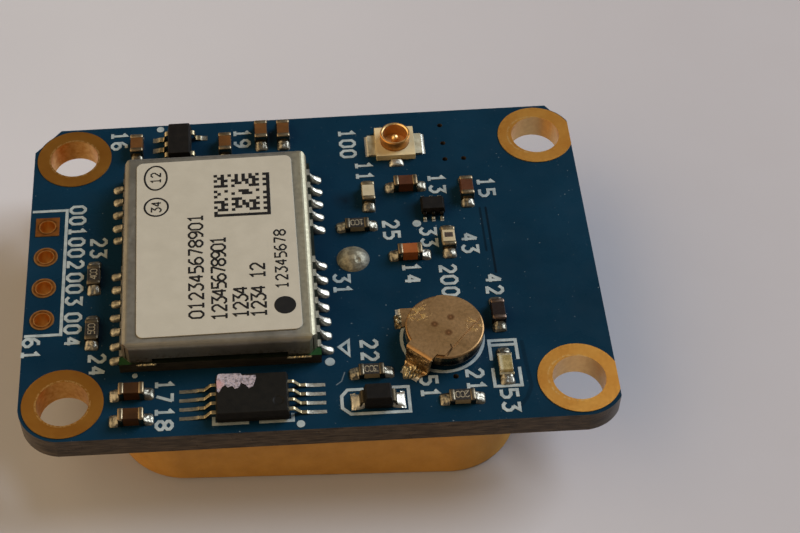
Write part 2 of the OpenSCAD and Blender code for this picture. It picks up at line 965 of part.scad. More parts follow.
memory_row = even_row(memory_leads_side, memory_pitch);
regulator_left_row = even_row(3, regulator_pitch);
regulator_right_row = even_row(2, 2 * regulator_pitch);
amplifier_row = even_row(3, amplifier_pitch);

module memory_leads() {
    color("#cfc9b4")
        on_board(memory_place)
            for (side = [0, 180])
                at_leads(memory_row, side)
                    lead(
                        memory_width, memory_height, memory_span, memory_lead_width,
                        memory_shoulder, memory_lean
                    );
}

module memory_body() {
    color("#23211f")
        difference() {
            on_board(memory_place)
                moulded_body(memory_width, memory_length, memory_height);
            memory_leads();
        }
}

module regulator_leads() {
    color("#cfc9b4")
        on_board(regulator_place) {
            at_leads(regulator_right_row)
                lead(regulator_width, regulator_height, regulator_span, regulator_lead_width);
            at_leads(regulator_left_row, 180)
                lead(regulator_width, regulator_height, regulator_span, regulator_lead_width);
        }
}

module regulator_body() {
    color("#23211f")
        difference() {
            on_board(regulator_place)
                moulded_body(regulator_width, regulator_length, regulator_height);
            regulator_leads();
        }
}

module amplifier_leads() {
    color("#cfc9b4")
        on_board(amplifier_place)
            for (side = [90, 270])
                at_leads(amplifier_row, side)
                    lead(amplifier_width, amplifier_height, amplifier_span, amplifier_lead_width);
}

module amplifier_body() {
    color("#23211f")
        difference() {
            on_board(amplifier_place)
                moulded_body(amplifier_length, amplifier_width, amplifier_height);
            amplifier_leads();
        }
}

module diode_terminals() {
    color("#cfc9b4")
        on_board(diode_place)
            for (side = [0, 180])
                at_leads([0], side)
                    lead(diode_length, diode_height, diode_span, diode_lead_width);
}

module diode_body() {
    color("#23211f")
        difference() {
            on_board(diode_place)
                moulded_body(diode_length, diode_width, diode_height);
            diode_terminals();
        }
}

// Solder in front of a lead's tip
module tip_solder(span, reach, width) {
    translate([span / 2, 0, 0])
        solder_fillet(reach, lead_solder_rise, width);
}

module lead_solder() {
    color("#d8d5cc") {
        on_board(memory_place)
            for (side = [0, 180])
                at_leads(memory_row, side)
                    tip_solder(memory_span, memory_solder, memory_lead_width);
        on_board(regulator_place) {
            at_leads(regulator_right_row)
                tip_solder(regulator_span, regulator_solder, regulator_lead_width);
            at_leads(regulator_left_row, 180)
                tip_solder(regulator_span, regulator_solder, regulator_lead_width);
        }
        on_board(amplifier_place)
            for (side = [90, 270])
                at_leads(amplifier_row, side)
                    tip_solder(amplifier_span, amplifier_solder, amplifier_lead_width);
        on_board(diode_place)
            for (side = [0, 180])
                at_leads([0], side)
                    tip_solder(diode_span, diode_solder, diode_solder_width);
        on_board(coax_place)
            coax_solder_joints();
        on_board(cell_place)
            tab_solder_joints();
    }
}

// Coaxial connector

coax_ring_r = coax_ring_d / 2;
coax_bore_r = coax_ring_r - coax_ring_wall;
coax_signal_tip = coax_base_side / 2 + coax_signal_reach;

module coax_ring() {
    groove_r = coax_ring_r - coax_groove_depth;
    groove_top = coax_base_height + coax_groove_height;
    rotate_extrude()
        polygon([
            [coax_bore_r, 0],
            [coax_ring_r, 0],
            [groove_r, groove_top],
            [coax_ring_r, groove_top + coax_groove_depth],
            [coax_ring_r, coax_ring_height - coax_edge],
            [coax_ring_r - coax_edge, coax_ring_height],
            [coax_bore_r + coax_edge, coax_ring_height],
            [coax_bore_r, coax_ring_height - coax_edge]
        ]);
}

// Strip of the signal tail, from the middle of the connector to its front, widened by a gap
module signal_strip(gap) {
    width = coax_signal_width + 2 * gap;
    translate([-width / 2, -coax_signal_tip, 0])
        cube([width, coax_signal_tip, coax_sheet + gap]);
}

// Ring and ground tails, bent from one sheet
module coax_shell() {
    color("#c8923a")
        on_board(coax_place)
            difference() {
                union() {
                    coax_ring();
                    linear_extrude(coax_sheet)
                        difference() {
                            square([coax_tail_span, coax_tail_width], center = true);
                            circle(coax_bore_r);
                        }
                }
                signal_strip(coax_gap);
            }
}

// Centre contact with its tail, which runs out under the front of the base
module coax_contact() {
    tip_r = coax_pin_d / 2;
    color("#d9a441")
        on_board(coax_place) {
            cylinder(r = tip_r, h = coax_pin_height - tip_r);
            translate([0, 0, coax_pin_height - tip_r])
                sphere(tip_r);
            signal_strip(0);
        }
}

// Insulator moulded round the contact and the tails
module coax_base() {
    color("#e3d5ae")
        difference() {
            on_board(coax_place)
                linear_extrude(coax_base_height)
                    square(coax_base_side, center = true);
            coax_shell();
            coax_contact();
            on_board(coax_place)
                translate([0, 0, coax_sheet + coax_gap])
                    cylinder(r = coax_bore_r, h = coax_base_height);
        }
}

module coax_solder_joints() {
    for (side = [0, 180])
        rotate(side)
            translate([coax_tail_span / 2, 0, 0])
                solder_fillet(coax_solder, lead_solder_rise, coax_tail_width);
    rotate(-90)
        translate([coax_signal_tip, 0, 0])
            solder_fillet(coax_solder, lead_solder_rise, coax_signal_width);
}

// Backup cell

cell_r = cell_d / 2;
upper_leg_tip = cell_r + upper_leg_reach;

// Sealed coin cell, standing on its cap with the crimped rim below
module battery_cell() {
    color("#b89a63")
        translate([cell_place.x, cell_place.y, cell_bottom])
            rotate_extrude()
                polygon(concat(
                    [[0, 0], [cell_cap_d / 2, 0], [cell_cap_d / 2, cell_cap_drop]],
                    arc([cell_r - cell_crimp_r, cell_cap_drop + cell_crimp_r], cell_crimp_r, -90, 0),
                    arc([cell_r - cell_edge_r, cell_height - cell_edge_r], cell_edge_r, 0, 90),
                    [[0, cell_height]]
                ));
}

module battery_upper_tab() {
    color("#b58a52")
        on_board(cell_place, upper_tab_turn) {
            translate([0, 0, cell_top - board_top])
                linear_extrude(tab_thick)
                    intersection() {
                        circle(cell_r - cell_edge_r);
                        translate([0, upper_tab_shift])
                            square([cell_d, upper_tab_width], center = true);
                    }
            intersection() {
                along_y(upper_leg_width)
                    polygon(ribbon(
                        lead_path(
                            cell_r - upper_leg_root,
                            cell_r + upper_leg_shoulder,
                            upper_leg_tip,
                            cell_top - board_top + tab_thick / 2,
                            tab_thick,
                            upper_leg_bend_r,
                            upper_leg_lean
                        ),
                        tab_thick
                    ));
                linear_extrude(cell_top - board_top + tab_thick)
                    polygon([
                        [0, -upper_leg_width],
                        [cell_r + upper_leg_bend_r, -upper_leg_width / 2],
                        [upper_leg_tip, -upper_foot_width / 2],
                        [upper_leg_tip + tab_thick, -upper_foot_width / 2],
                        [upper_leg_tip + tab_thick, upper_foot_width / 2],
                        [upper_leg_tip, upper_foot_width / 2],
                        [cell_r + upper_leg_bend_r, upper_leg_width / 2],
                        [0, upper_leg_width]
                    ]);
            }
        }
}

module battery_lower_tab() {
    color("#b58a52")
        on_board(cell_place)
            linear_extrude(tab_thick) {
                circle(d = cell_cap_d);
                translate([-lower_tab_reach, lower_tab_shift - lower_tab_width / 2])
                    square([lower_tab_reach, lower_tab_width]);
            }
}

module tab_solder_joints() {
    rotate(upper_tab_turn)
        translate([upper_leg_tip, 0, 0])
            solder_fillet(tab_solder, tab_solder_rise, upper_foot_width);
    translate([-lower_tab_reach, lower_tab_shift, 0])
        rotate(180)
            solder_fillet(tab_solder, tab_solder_rise, lower_tab_width);
}

function numbered(name, places) = [for (k = [1:len(places)]) str(name, "_", k)];

circuit_board();
mounting_eyelets();
header_eyelets();
antenna_ceramic();
antenna_patch();
antenna_ground();
antenna_tape();
antenna_feed_pin();
antenna_feed_solder();
receiver_board();
receiver_solder();
receiver_shield();
receiver_label();
receiver_chip();
receiver_oscillator();
receiver_filter();
capacitor_end_caps();
resistor_end_caps();
inductor_end_caps();
chip_solder();
led_base();
led_terminals();
led_lens();
memory_body();
memory_leads();
regulator_body();
regulator_leads();
amplifier_body();
amplifier_leads();
diode_body();
diode_terminals();
lead_solder();
coax_base();
coax_shell();
coax_contact();
battery_cell();
battery_upper_tab();
battery_lower_tab();
for (k = [0:len(capacitor_places) - 1])
    capacitor(capacitor_places[k]);
for (k = [0:len(resistor_places) - 1])
    resistor(resistor_places[k]);
for (k = [0:len(inductor_places) - 1])
    inductor(inductor_places[k]);
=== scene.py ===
import itertools
import math
import random

import bmesh
import bpy
from mathutils import Matrix, Vector


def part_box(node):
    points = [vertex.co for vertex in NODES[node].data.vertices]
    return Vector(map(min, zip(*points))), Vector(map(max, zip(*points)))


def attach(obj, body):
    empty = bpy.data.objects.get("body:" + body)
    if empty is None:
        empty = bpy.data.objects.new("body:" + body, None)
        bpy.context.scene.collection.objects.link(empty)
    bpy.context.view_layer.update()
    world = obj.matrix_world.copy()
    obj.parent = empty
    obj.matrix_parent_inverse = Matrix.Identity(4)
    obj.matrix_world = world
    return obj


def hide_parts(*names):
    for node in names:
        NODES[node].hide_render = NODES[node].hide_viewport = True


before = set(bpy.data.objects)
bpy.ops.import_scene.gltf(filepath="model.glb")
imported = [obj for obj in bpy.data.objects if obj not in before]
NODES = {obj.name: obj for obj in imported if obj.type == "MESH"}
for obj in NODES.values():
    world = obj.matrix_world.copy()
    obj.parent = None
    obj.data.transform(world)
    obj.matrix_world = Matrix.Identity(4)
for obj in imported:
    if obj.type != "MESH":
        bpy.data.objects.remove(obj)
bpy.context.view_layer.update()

# Lengths below are in millimetres, in the frame of the CAD model, and MM turns them into metres
MM = 0.001
BODY = "root"


def corners(node):
    low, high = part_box(node)
    return low / MM, high / MM


def middle(node):
    """Middle of a node, seen from above."""
    low, high = corners(node)
    return ((low + high) / 2).xy


def top_of(node):
    return corners(node)[1].z


def add_object(name, data):
    made = bpy.data.objects.new(name, data)
    bpy.context.scene.collection.objects.link(made)
    return made


BOARD_TOP = top_of("circuit_board")
LABEL_TOP = top_of("receiver_label")
random.seed(7)


# Colours and materials

def rgb(red, green, blue):
    """Colour written as it looks on a screen, 0 to 255, turned into linear light."""
    def linear(level):
        level /= 255
        return level / 12.92 if level <= 0.04045 else ((level + 0.055) / 1.055) ** 2.4
    return (linear(red), linear(green), linear(blue), 1)


def grey(level):
    return (level, level, level, 1)


# Most of a cloudy pattern lies between these levels
CLOUD_LOW = 0.3
CLOUD_HIGH = 0.7
# Least upright share of the normal of a face that counts as level
LEVEL = 0.5


class Finish:
    """A procedural material on one Principled shader, with textures laid out in millimetres."""

    def __init__(self, name, **sockets):
        self.name = name
        self.material = bpy.data.materials.new(name)
        self.material.use_nodes = True
        self.nodes = self.material.node_tree.nodes
        self.links = self.material.node_tree.links
        self.shader = self.nodes["Principled BSDF"]
        for socket, value in sockets.items():
            self.shader.inputs[socket.replace("_", " ")].default_value = value
        place = self.nodes.new("ShaderNodeTexCoord").outputs["Object"]
        self.place = self.add("ShaderNodeVectorMath", "SCALE", Vector=place, Scale=1 / MM)

    def add(self, kind, operation=None, output=0, **inputs):
        node = self.nodes.new(kind)
        if operation:
            node.operation = operation
        sockets = {socket.identifier: socket for socket in node.inputs}
        for socket, value in inputs.items():
            self.plug(sockets.get(socket) or node.inputs[socket.replace("_", " ")], value)
        return node.outputs[output]

    def plug(self, socket, value):
        if isinstance(value, bpy.types.NodeSocket):
            self.links.new(value, socket)
        else:
            socket.default_value = value

    def math(self, operation, *values):
        node = self.nodes.new("ShaderNodeMath")
        node.operation = operation
        for socket, value in zip(node.inputs, values):
            self.plug(socket, value)
        return node.outputs[0]

    def vector(self, operation, first, second, output=0):
        return self.add("ShaderNodeVectorMath", operation, output, Vector=first, Vector_001=second)

    def noise(self, size, detail=3, stretch=(1, 1, 1), shift=(0, 0, 0)):
        """Cloudy pattern whose features are about that size."""
        moved = self.add("ShaderNodeMapping", Vector=self.place, Location=shift, Scale=stretch)
        return self.add("ShaderNodeTexNoise", Vector=moved, Scale=1 / size, Detail=detail)

    def ramp(self, factor, *stops):
        """Colours or grey levels over a factor, given as (position, value) pairs."""
        node = self.nodes.new("ShaderNodeValToRGB")
        elements = node.color_ramp.elements
        while len(elements) < len(stops):
            elements.new(0.5)
        for element, (position, value) in zip(elements, stops):
            element.position = position
            element.color = value if isinstance(value, tuple) else grey(value)
        self.links.new(factor, node.inputs["Fac"])
        return node.outputs["Color"]

    def between(self, pattern, first, second):
        """From one colour or grey level to another over the middle of a pattern."""
        return self.ramp(pattern, (CLOUD_LOW, first), (CLOUD_HIGH, second))

    def mix(self, factor, first, second):
        node = self.nodes.new("ShaderNodeMix")
        node.data_type = "RGBA"
        self.plug(node.inputs["Factor"], factor)
        self.plug(node.inputs["A"], first)
        self.plug(node.inputs["B"], second)
        return node.outputs["Result"]

    def times(self, first, second):
        return self.math("MULTIPLY", first, second)

    def clamp(self, value):
        return self.math("MINIMUM", self.math("MAXIMUM", value, 0.0), 1.0)

    def inverse(self, value):
        return self.math("SUBTRACT", 1.0, value)

    def facing_up(self):
        """1 on faces that look up or down, 0 on upright walls."""
        normal = self.nodes.new("ShaderNodeNewGeometry").outputs["Normal"]
        z = self.add("ShaderNodeSeparateXYZ", Vector=normal, output=2)
        return self.math("GREATER_THAN", self.math("ABSOLUTE", z), LEVEL)

    def from_axis(self, centre):
        """Distance from an upright axis."""
        return self.vector("DISTANCE", self.flat(), (*centre, 0), output=1)

    def near(self, centre, radius, edge):
        """1 within a radius of an upright axis, fading to 0 over the edge."""
        reach = radius + edge
        far = self.math("DIVIDE", self.from_axis(centre), reach)
        return self.ramp(far, (radius / reach, 1.0), (1.0, 0.0))

    def ring(self, centre, radius, half, edge):
        """1 on a circle line about an upright axis, fading to 0 beside it."""
        beside = self.math("ABSOLUTE", self.math("SUBTRACT", self.from_axis(centre), radius))
        return self.ramp(beside, (half, 1.0), (half + edge, 0.0))

    def along(self, start, end, axis=0):
        """0 to 1 between two values of x, or of another axis."""
        value = self.add("ShaderNodeSeparateXYZ", Vector=self.place, output=axis)
        return self.clamp(self.math("DIVIDE", self.math("SUBTRACT", value, start), end - start))

    def above(self, height, edge):
        """1 above a height, fading to 0 over the edge below it."""
        return self.along(height - edge, height, axis=2)

    def base(self):
        """What colours the shader so far."""
        return self.shader.inputs["Base Color"].links[0].from_socket

    def flat(self):
        """Place seen from above."""
        return self.vector("MULTIPLY", self.place, (1, 1, 0))

    def from_line(self, start, end):
        """Distance from a straight line between two points, seen from above."""
        span = Vector((end[0] - start[0], end[1] - start[1], 0))
        offset = self.vector("SUBTRACT", self.flat(), (*start, 0))
        dot = self.vector("DOT_PRODUCT", offset, span, output=1)
        share = self.clamp(self.math("DIVIDE", dot, span.length_squared))
        foot = self.add("ShaderNodeVectorMath", "SCALE", Vector=span, Scale=share)
        return self.vector("DISTANCE", offset, foot, output=1)

    def from_path(self, points):
        """Distance from the nearest of several straight lines in a row."""
        nearest = None
        for start, end in zip(points, points[1:]):
            here = self.from_line(start, end)
            nearest = self.math("MINIMUM", nearest, here) if nearest else here
        return nearest

    def colour(self, value):
        self.plug(self.shader.inputs["Base Color"], value)

    def tint(self, factor, colour):
        """Mixes a colour into what colours the shader so far."""
        self.colour(self.mix(factor, self.base(), colour))

    def walls(self, colour):
        """Colours upright walls apart from the rest."""
        self.colour(self.mix(self.facing_up(), colour, self.base()))

    def rough(self, value):
        self.plug(self.shader.inputs["Roughness"], value)

    def bump(self, height, depth):
        """Relief of that depth in millimetres."""
        node = self.nodes.new("ShaderNodeBump")
        node.inputs["Distance"].default_value = depth * MM
        self.plug(node.inputs["Height"], height)
        before = self.shader.inputs["Normal"].links
        if before:
            self.links.new(before[0].from_socket, node.inputs["Normal"])
        self.links.new(node.outputs["Normal"], self.shader.inputs["Normal"])


def textured(finish, dark, light, rough, fine, relief, cloud):
    """Gives a finish cloudy colours and a fine grain."""
    finish.colour(finish.between(cloud, dark, light))
    finish.rough(finish.between(fine, *rough))
    finish.bump(fine, relief)
    return finish


def metal(name, dark, light, rough=(0.3, 0.5), grain=0.25, relief=0.01):
    """Bare or plated metal with cloudy tarnish and a fine grain."""
    finish = Finish(name, Metallic=1.0)
    cloud = finish.noise(grain * 6, detail=5)
    return textured(finish, dark, light, rough, finish.noise(grain), relief, cloud)


# Roughness of tinned sheet
TIN_TOP = (0.34, 0.46)
TIN_WALL = 0.18


def tinned(name, dark, light):
    """Tinned sheet, duller on top than at its walls."""
    finish = metal(name, dark, light)
    top = finish.between(finish.noise(0.25), *TIN_TOP)
    finish.rough(finish.mix(finish.facing_up(), grey(TIN_WALL), top))
    return finish


def solid(name, dark, light, rough=(0.4, 0.6), grain=0.2, relief=0.01, **sockets):
    """Moulded, fired or printed stuff with a slight mottle and a fine grain."""
    finish = Finish(name, **sockets)
    cloud = finish.noise(grain * 5, detail=4)
    return textured(finish, dark, light, rough, finish.noise(grain), relief, cloud)


def ceramic(name, dark, light):
    """Fired body of a chip part."""
    return solid(name, dark, light, rough=(0.42, 0.56), Specular_IOR_Level=0.12)


def laminate(finish, dark, light):
    """Gives a finish the layered glass cloth of a cut edge on its walls."""
    layers = finish.noise(0.25, detail=4, stretch=(0.25, 0.25, 2.5))
    finish.walls(finish.between(layers, dark, light))


# Gaps in the copper under the mask, which show as dark lines: a path, half the gap and how dark it is
COPPER_GAPS = [
    ([(11.32, 3.8), (11.35, 0.2)], 0, 0.7),
    ([(11.7, 3.8), (11.74, -1.6)], 0, 0.9),
    ([(12.64, -7.12), (12.74, -9.11), (12.83, -10.41), (12.46, -11.24), (11.89, -11.94)], 0.05, 0.4),
]
# A stain, then a painted shadow beside the amplifier: the middle and radius of each
STAIN_AND_SHADOW_SPOTS = [((2.56, 5.09), 0.35), ((7.0, 4.1), 0.3)]
FIBRE = [(1.73, -8.74), (1.51, -9.37), (1.19, -9.62)]


def solder_mask():
    """Blue mask with copper gaps, a stain, a painted shadow and dust."""
    finish = Finish("solder_mask", Specular_IOR_Level=0.12)
    cloud = finish.noise(5, detail=5)
    finish.colour(finish.between(cloud, rgb(6, 35, 52), rgb(11, 43, 62)))
    for path, half, depth in COPPER_GAPS:
        away = finish.from_path(path)
        beside = finish.math("ABSOLUTE", finish.math("SUBTRACT", away, half))
        line = finish.ramp(beside, (0.04, depth), (0.11, 0.0))
        between = finish.ramp(away, (half, depth / 2), (half + 0.06, 0.0))
        finish.tint(finish.math("MAXIMUM", line, between), rgb(3, 15, 25))
    # Cloudy dark patches: one real stain and one painted shadow
    for spot, radius in STAIN_AND_SHADOW_SPOTS:
        stain_and_shadow = finish.times(finish.near(spot, 0.1, radius + 0.5), finish.noise(0.6))
        finish.tint(stain_and_shadow, rgb(8, 20, 30))
    dust = finish.ramp(finish.noise(0.22, detail=1), (0.76, 0.0), (0.83, 0.4))
    finish.tint(dust, rgb(74, 92, 104))
    specks = finish.ramp(finish.noise(0.12, detail=0, shift=(3, 5, 0)), (0.86, 0.0), (0.9, 0.6))
    finish.tint(specks, rgb(120, 132, 138))
    fibre = finish.ramp(finish.from_path(FIBRE), (0.02, 0.5), (0.05, 0.0))
    finish.tint(fibre, rgb(120, 130, 134))
    laminate(finish, rgb(37, 31, 25), rgb(84, 72, 60))
    finish.rough(finish.between(finish.noise(1.4), 0.24, 0.34))
    weave = finish.noise(0.3, detail=2)
    finish.bump(weave, 0.004)
    return finish


def receiver_laminate():
    """Board of the receiver, green at its open corners and painted dark elsewhere as the shade along
    the shield.
    """
    low, high = corners("receiver_board")
    finish = Finish("receiver_laminate", Specular_IOR_Level=0.2)
    # Painted shade: the top is dark all over, and its own green is tinted in only at the open corners
    finish.colour(finish.between(finish.noise(0.8), rgb(11, 18, 12), rgb(22, 28, 18)))
    for x in (low.x + 0.3, high.x - 0.3):
        corner = finish.near((x, low.y + 0.2), 0.32, 0.25)
        finish.tint(corner, rgb(20, 58, 22))
    laminate(finish, rgb(26, 24, 20), rgb(52, 47, 38))
    finish.rough(finish.between(finish.noise(0.5), 0.35, 0.5))
    return finish


def resistor_glaze():
    """Dark glaze on top, ceramic at the sides."""
    finish = Finish("resistor_glaze", Specular_IOR_Level=0.4)
    finish.colour(finish.between(finish.noise(0.4), rgb(26, 22, 18), rgb(39, 34, 28)))
    finish.walls(rgb(120, 108, 84))
    finish.rough(finish.between(finish.noise(0.2), 0.35, 0.5))
    return finish


# Marks on the cell, from its middle
WELD_DOTS = [(-0.61, 0.08), (0.41, 0.54), (0.17, -0.6)]
CELL_WORN = [(-1.5, 1.1, 0.55), (1.75, 0, 0.3)]
CELL_SEAM = [(-0.05, -2.2), (0.25, -1.75), (0.2, -1.5)]


def cell_top(finish):
    """Gives a finish the worn tan of the cell, with three weld dots and a seam."""
    x, y = middle("battery_cell")
    cloud = finish.noise(1.3, detail=5)
    finish.colour(finish.between(cloud, rgb(138, 106, 68), rgb(156, 122, 83)))
    scratch = finish.ramp(finish.noise(0.34, stretch=(1, 1.7, 1)), (0.54, 0.0), (0.58, 1.0))
    patches = (finish.near((x + dx, y + dy), r, 0.3) for dx, dy, r in CELL_WORN)
    worn = finish.times(finish.math("MAXIMUM", *patches), scratch)
    finish.tint(finish.times(worn, 0.55), rgb(204, 164, 96))
    for dx, dy in WELD_DOTS:
        spot = (x + dx, y + dy)
        brown = finish.times(finish.near(spot, 0.16, 0.12), 0.75)
        finish.tint(brown, rgb(92, 56, 30))
        pale = finish.times(finish.near(spot, 0.04, 0.05), 0.7)
        finish.tint(pale, rgb(150, 104, 66))
    seam = finish.from_path([(x + dx, y + dy) for dx, dy in CELL_SEAM])
    finish.tint(finish.ramp(seam, (0.02, 0.8), (0.07, 0.0)), rgb(50, 34, 22))
    finish.bump(worn, 0.02)


def cell_steel():
    """Steel of the cell, tan above, with its walls painted dark low down as shade and the dark board
    mirrored in them.
    """
    finish = Finish("cell_steel", Metallic=1.0)
    cell_top(finish)
    upper = finish.above(top_of("battery_cell") - 0.3, 0.2)
    # Painted shade: the walls turn dark low down and stay tan near the cap's rim
    finish.walls(finish.mix(upper, rgb(70, 56, 42), rgb(150, 118, 80)))
    fine = finish.noise(0.2)
    top_rough = finish.between(fine, 0.42, 0.52)
    finish.rough(finish.mix(finish.facing_up(), grey(0.26), top_rough))
    finish.bump(fine, 0.004)
    return finish


def cell_tab():
    """Tab on the cell, with a browned and crumpled leg."""
    finish = Finish("cell_tab", Metallic=1.0)
    cell_top(finish)
    on_cell = finish.above(top_of("battery_cell"), 0.06)
    leg = finish.ramp(finish.noise(0.5, detail=5), (0.35, rgb(98, 78, 54)), (0.65, rgb(176, 148, 108)))
    finish.colour(finish.mix(on_cell, leg, finish.base()))
    fine = finish.noise(0.2)
    finish.rough(finish.mix(on_cell, grey(0.36), finish.between(fine, 0.44, 0.54)))
    finish.bump(fine, 0.004)
    crumple = finish.times(finish.inverse(on_cell), finish.noise(0.45, detail=4))
    finish.bump(crumple, 0.25)
    return finish


EYELET_OUTER = 2.5
EYELET_RING = 1.66


def gold_plating():
    """Gold of the mounting lands, with a painted sheen that brightens it towards the lit end of the
    board, and a worn ring round each hole.
    """
    low, high = corners("mounting_eyelets")
    finish = Finish("gold_plating", Metallic=1.0)
    cloud = finish.noise(1.6, detail=4)
    brown = finish.between(cloud, rgb(184, 122, 50), rgb(198, 138, 60))
    bright = finish.between(cloud, rgb(228, 152, 64), rgb(242, 172, 80))
    # Painted sheen: the gold blends from the browner to the brighter colour towards the lit end
    share = finish.along(-14, 14)
    finish.colour(finish.mix(share, brown, bright))
    dots = finish.ramp(finish.noise(0.16, detail=2), (0.42, 0.0), (0.56, 0.55))
    for cx in (low.x + EYELET_OUTER, high.x - EYELET_OUTER):
        for cy in (low.y + EYELET_OUTER, high.y - EYELET_OUTER):
            worn = finish.times(finish.ring((cx, cy), EYELET_RING, 0.03, 0.05), dots)
            finish.tint(worn, rgb(246, 204, 132))
    barrel = finish.between(finish.noise(0.3), rgb(204, 142, 70), rgb(230, 180, 108))
    # Painted sheen on the barrel walls too, paler towards the lit end
    finish.walls(finish.mix(finish.times(share, 0.5), barrel, rgb(250, 212, 150)))
    fine = finish.noise(0.2)
    finish.rough(finish.between(fine, 0.34, 0.38))
    finish.bump(fine, 0.003)
    return finish


HEADER_PITCH = 2.54
HEADER_HOLE = 0.5
HEADER_LAND = 0.75


def header_gold():
    """Reddish gold, with a painted highlight at each hole's rim, a painted shade line round it and
    painted light on the barrel walls.
    """
    x, y = middle("header_eyelets")
    finish = metal("header_gold", rgb(152, 92, 42), rgb(176, 114, 58), rough=(0.36, 0.46))
    spots = finish.ramp(finish.noise(0.3), (0.4, 0.2), (0.6, 0.9))
    for step in (-1.5, -0.5, 0.5, 1.5):
        hole = (x, y + step * HEADER_PITCH)
        # Painted shade round the rim of each hole, broken into spots
        brown = finish.times(finish.ring(hole, HEADER_HOLE + 0.1, 0.02, 0.08), spots)
        finish.tint(brown, rgb(92, 52, 24))
        if step < 1:
            outline = finish.times(finish.ring(hole, HEADER_LAND, 0.02, 0.04), 0.6)
            finish.tint(outline, rgb(196, 150, 92))
        # Painted highlight along the rim of each hole
        bright = finish.times(finish.ring(hole, HEADER_HOLE, 0.03, 0.04), 0.6)
        finish.tint(bright, rgb(228, 168, 96))
    # Painted light: the barrel walls are far brighter than the lands, as light bounced inside them
    finish.walls(rgb(226, 166, 82))
    return finish


def inductor_caps():
    """Tinned caps, browned on the dark inductor."""
    finish = tinned("inductor_caps", rgb(120, 106, 82), rgb(148, 133, 107))
    finish.tint(finish.near(middle("inductor_3"), 1.2, 0.1), rgb(104, 86, 74))
    return finish


def coax_metal():
    """Gold ring of the connector, with tinned tails and painted light on the gold inside the ring."""
    axis = middle("coax_shell")
    finish = Finish("coax_metal", Metallic=1.0)
    on_ring = finish.near(axis, 1.06, 0.04)
    cloud = finish.noise(0.8, detail=4)
    gold = finish.between(cloud, rgb(166, 112, 56), rgb(190, 138, 78))
    tin = finish.between(cloud, rgb(190, 174, 136), rgb(232, 224, 198))
    # Painted light: the gold inside the ring is paler, as light bounced between its walls
    gold = finish.mix(finish.near(axis, 0.9, 0.03), gold, rgb(232, 194, 132))
    finish.colour(finish.mix(on_ring, tin, gold))
    fine = finish.noise(0.2)
    polished = finish.between(fine, 0.34, 0.46)
    dull = finish.between(fine, 0.46, 0.56)
    finish.rough(finish.mix(on_ring, dull, polished))
    finish.bump(fine, 0.008)
    return finish


def connector_insulator():
    """Cream moulding, lit orange inside the gold ring."""
    finish = solid("connector_insulator", rgb(184, 164, 122), rgb(202, 184, 142))
    finish.tint(finish.near(middle("coax_shell"), 0.88, 0.02), rgb(190, 136, 82))
    return finish


def feed_solder():
    """Dull, slightly crumpled solder with a pit, painted darker towards one side as shade."""
    x, y = middle("antenna_feed_solder")
    dark, light = rgb(124, 116, 97), rgb(156, 150, 132)
    finish = metal("feed_solder", dark, light, rough=(0.5, 0.64), relief=0.008)
    finish.shader.inputs["Metallic"].default_value = 0.75
    clouds = finish.noise(0.32, detail=4)
    mottle = finish.ramp(clouds, (0.4, rgb(92, 83, 61)), (0.62, rgb(172, 163, 136)))
    finish.tint(0.55, mottle)
    # Painted shade: the solder darkens towards one side, so that the other side reads as its lit half
    finish.tint(finish.along(x + 0.1, x + 1), rgb(98, 96, 88))
    pit = finish.near((x + 0.28, y - 0.42), 0.05, 0.16)
    finish.bump(finish.inverse(pit), 0.07)
    finish.bump(finish.noise(0.5, detail=4), 0.08)
    return finish


WINDOW_HALF = (0.27, 0.2)


def inductor_window():
    """Pale ceramic with a dark window on its top."""
    x, y = middle("inductor_2")
    finish = solid("inductor_window", rgb(158, 145, 114), rgb(178, 166, 136), rough=(0.4, 0.55))
    across = finish.vector("SUBTRACT", finish.flat(), (x, y + 0.06, 0))
    across = finish.add("ShaderNodeVectorMath", "ABSOLUTE", Vector=across)
    window = finish.facing_up()
    for axis, half in enumerate(WINDOW_HALF):
        away = finish.add("ShaderNodeSeparateXYZ", Vector=across, output=axis)
        window = finish.times(window, finish.math("LESS_THAN", away, half))
    finish.tint(window, rgb(52, 38, 26))
    return finish


def amplifier_leads():
    """Leads that are bright at their feet and painted dark above them, as the shade against the body.
    """
    finish = tinned("amplifier_tin_painted_shade", rgb(160, 150, 124), rgb(204, 196, 172))
    # Painted shade: the leads are dark above their feet, where the body shades them
    finish.tint(finish.above(BOARD_TOP + 0.24, 0.08), rgb(34, 31, 26))
    return finish


# Little sheen, as on moulded packages
DULL = {"Specular_IOR_Level": 0.1}


def memory_moulding():
    """Black moulding with the dimple of the first lead."""
    low, high = corners("memory_body")
    finish = solid(
        "memory_moulding", rgb(14, 13, 10), rgb(22, 20, 16), rough=(0.5, 0.62), grain=0.08, **DULL
    )
    dimple = finish.near((high.x - 0.64, low.y + 0.85), 0.26, 0.08)
    finish.bump(finish.inverse(dimple), 0.05)
    return finish


def antenna_ceramic():
    """Ochre ceramic, painted lighter and yellower towards one end as the light bounced from the floor
    there.
    """
    end = corners("antenna_ceramic")[1].x
    finish = solid("antenna_ceramic", rgb(168, 116, 40), rgb(182, 129, 50), rough=(0.5, 0.65))
    # Painted light: the end nearest the bright floor is lighter
    finish.tint(finish.along(end - 5, end), rgb(212, 158, 62))
    return finish


def lens_resin():
    """Olive and cream resin, whiter along one side."""
    x = middle("led_lens").x
    olive, cream = rgb(112, 98, 54), rgb(176, 160, 112)
    finish = solid("lens_resin", olive, cream, rough=(0.2, 0.3), grain=0.1, Transmission_Weight=0.2)
    pale = finish.ramp(finish.along(x - 0.28, x - 0.14), (0.0, 0.8), (1.0, 0.0))
    finish.tint(pale, rgb(196, 188, 158))
    return finish


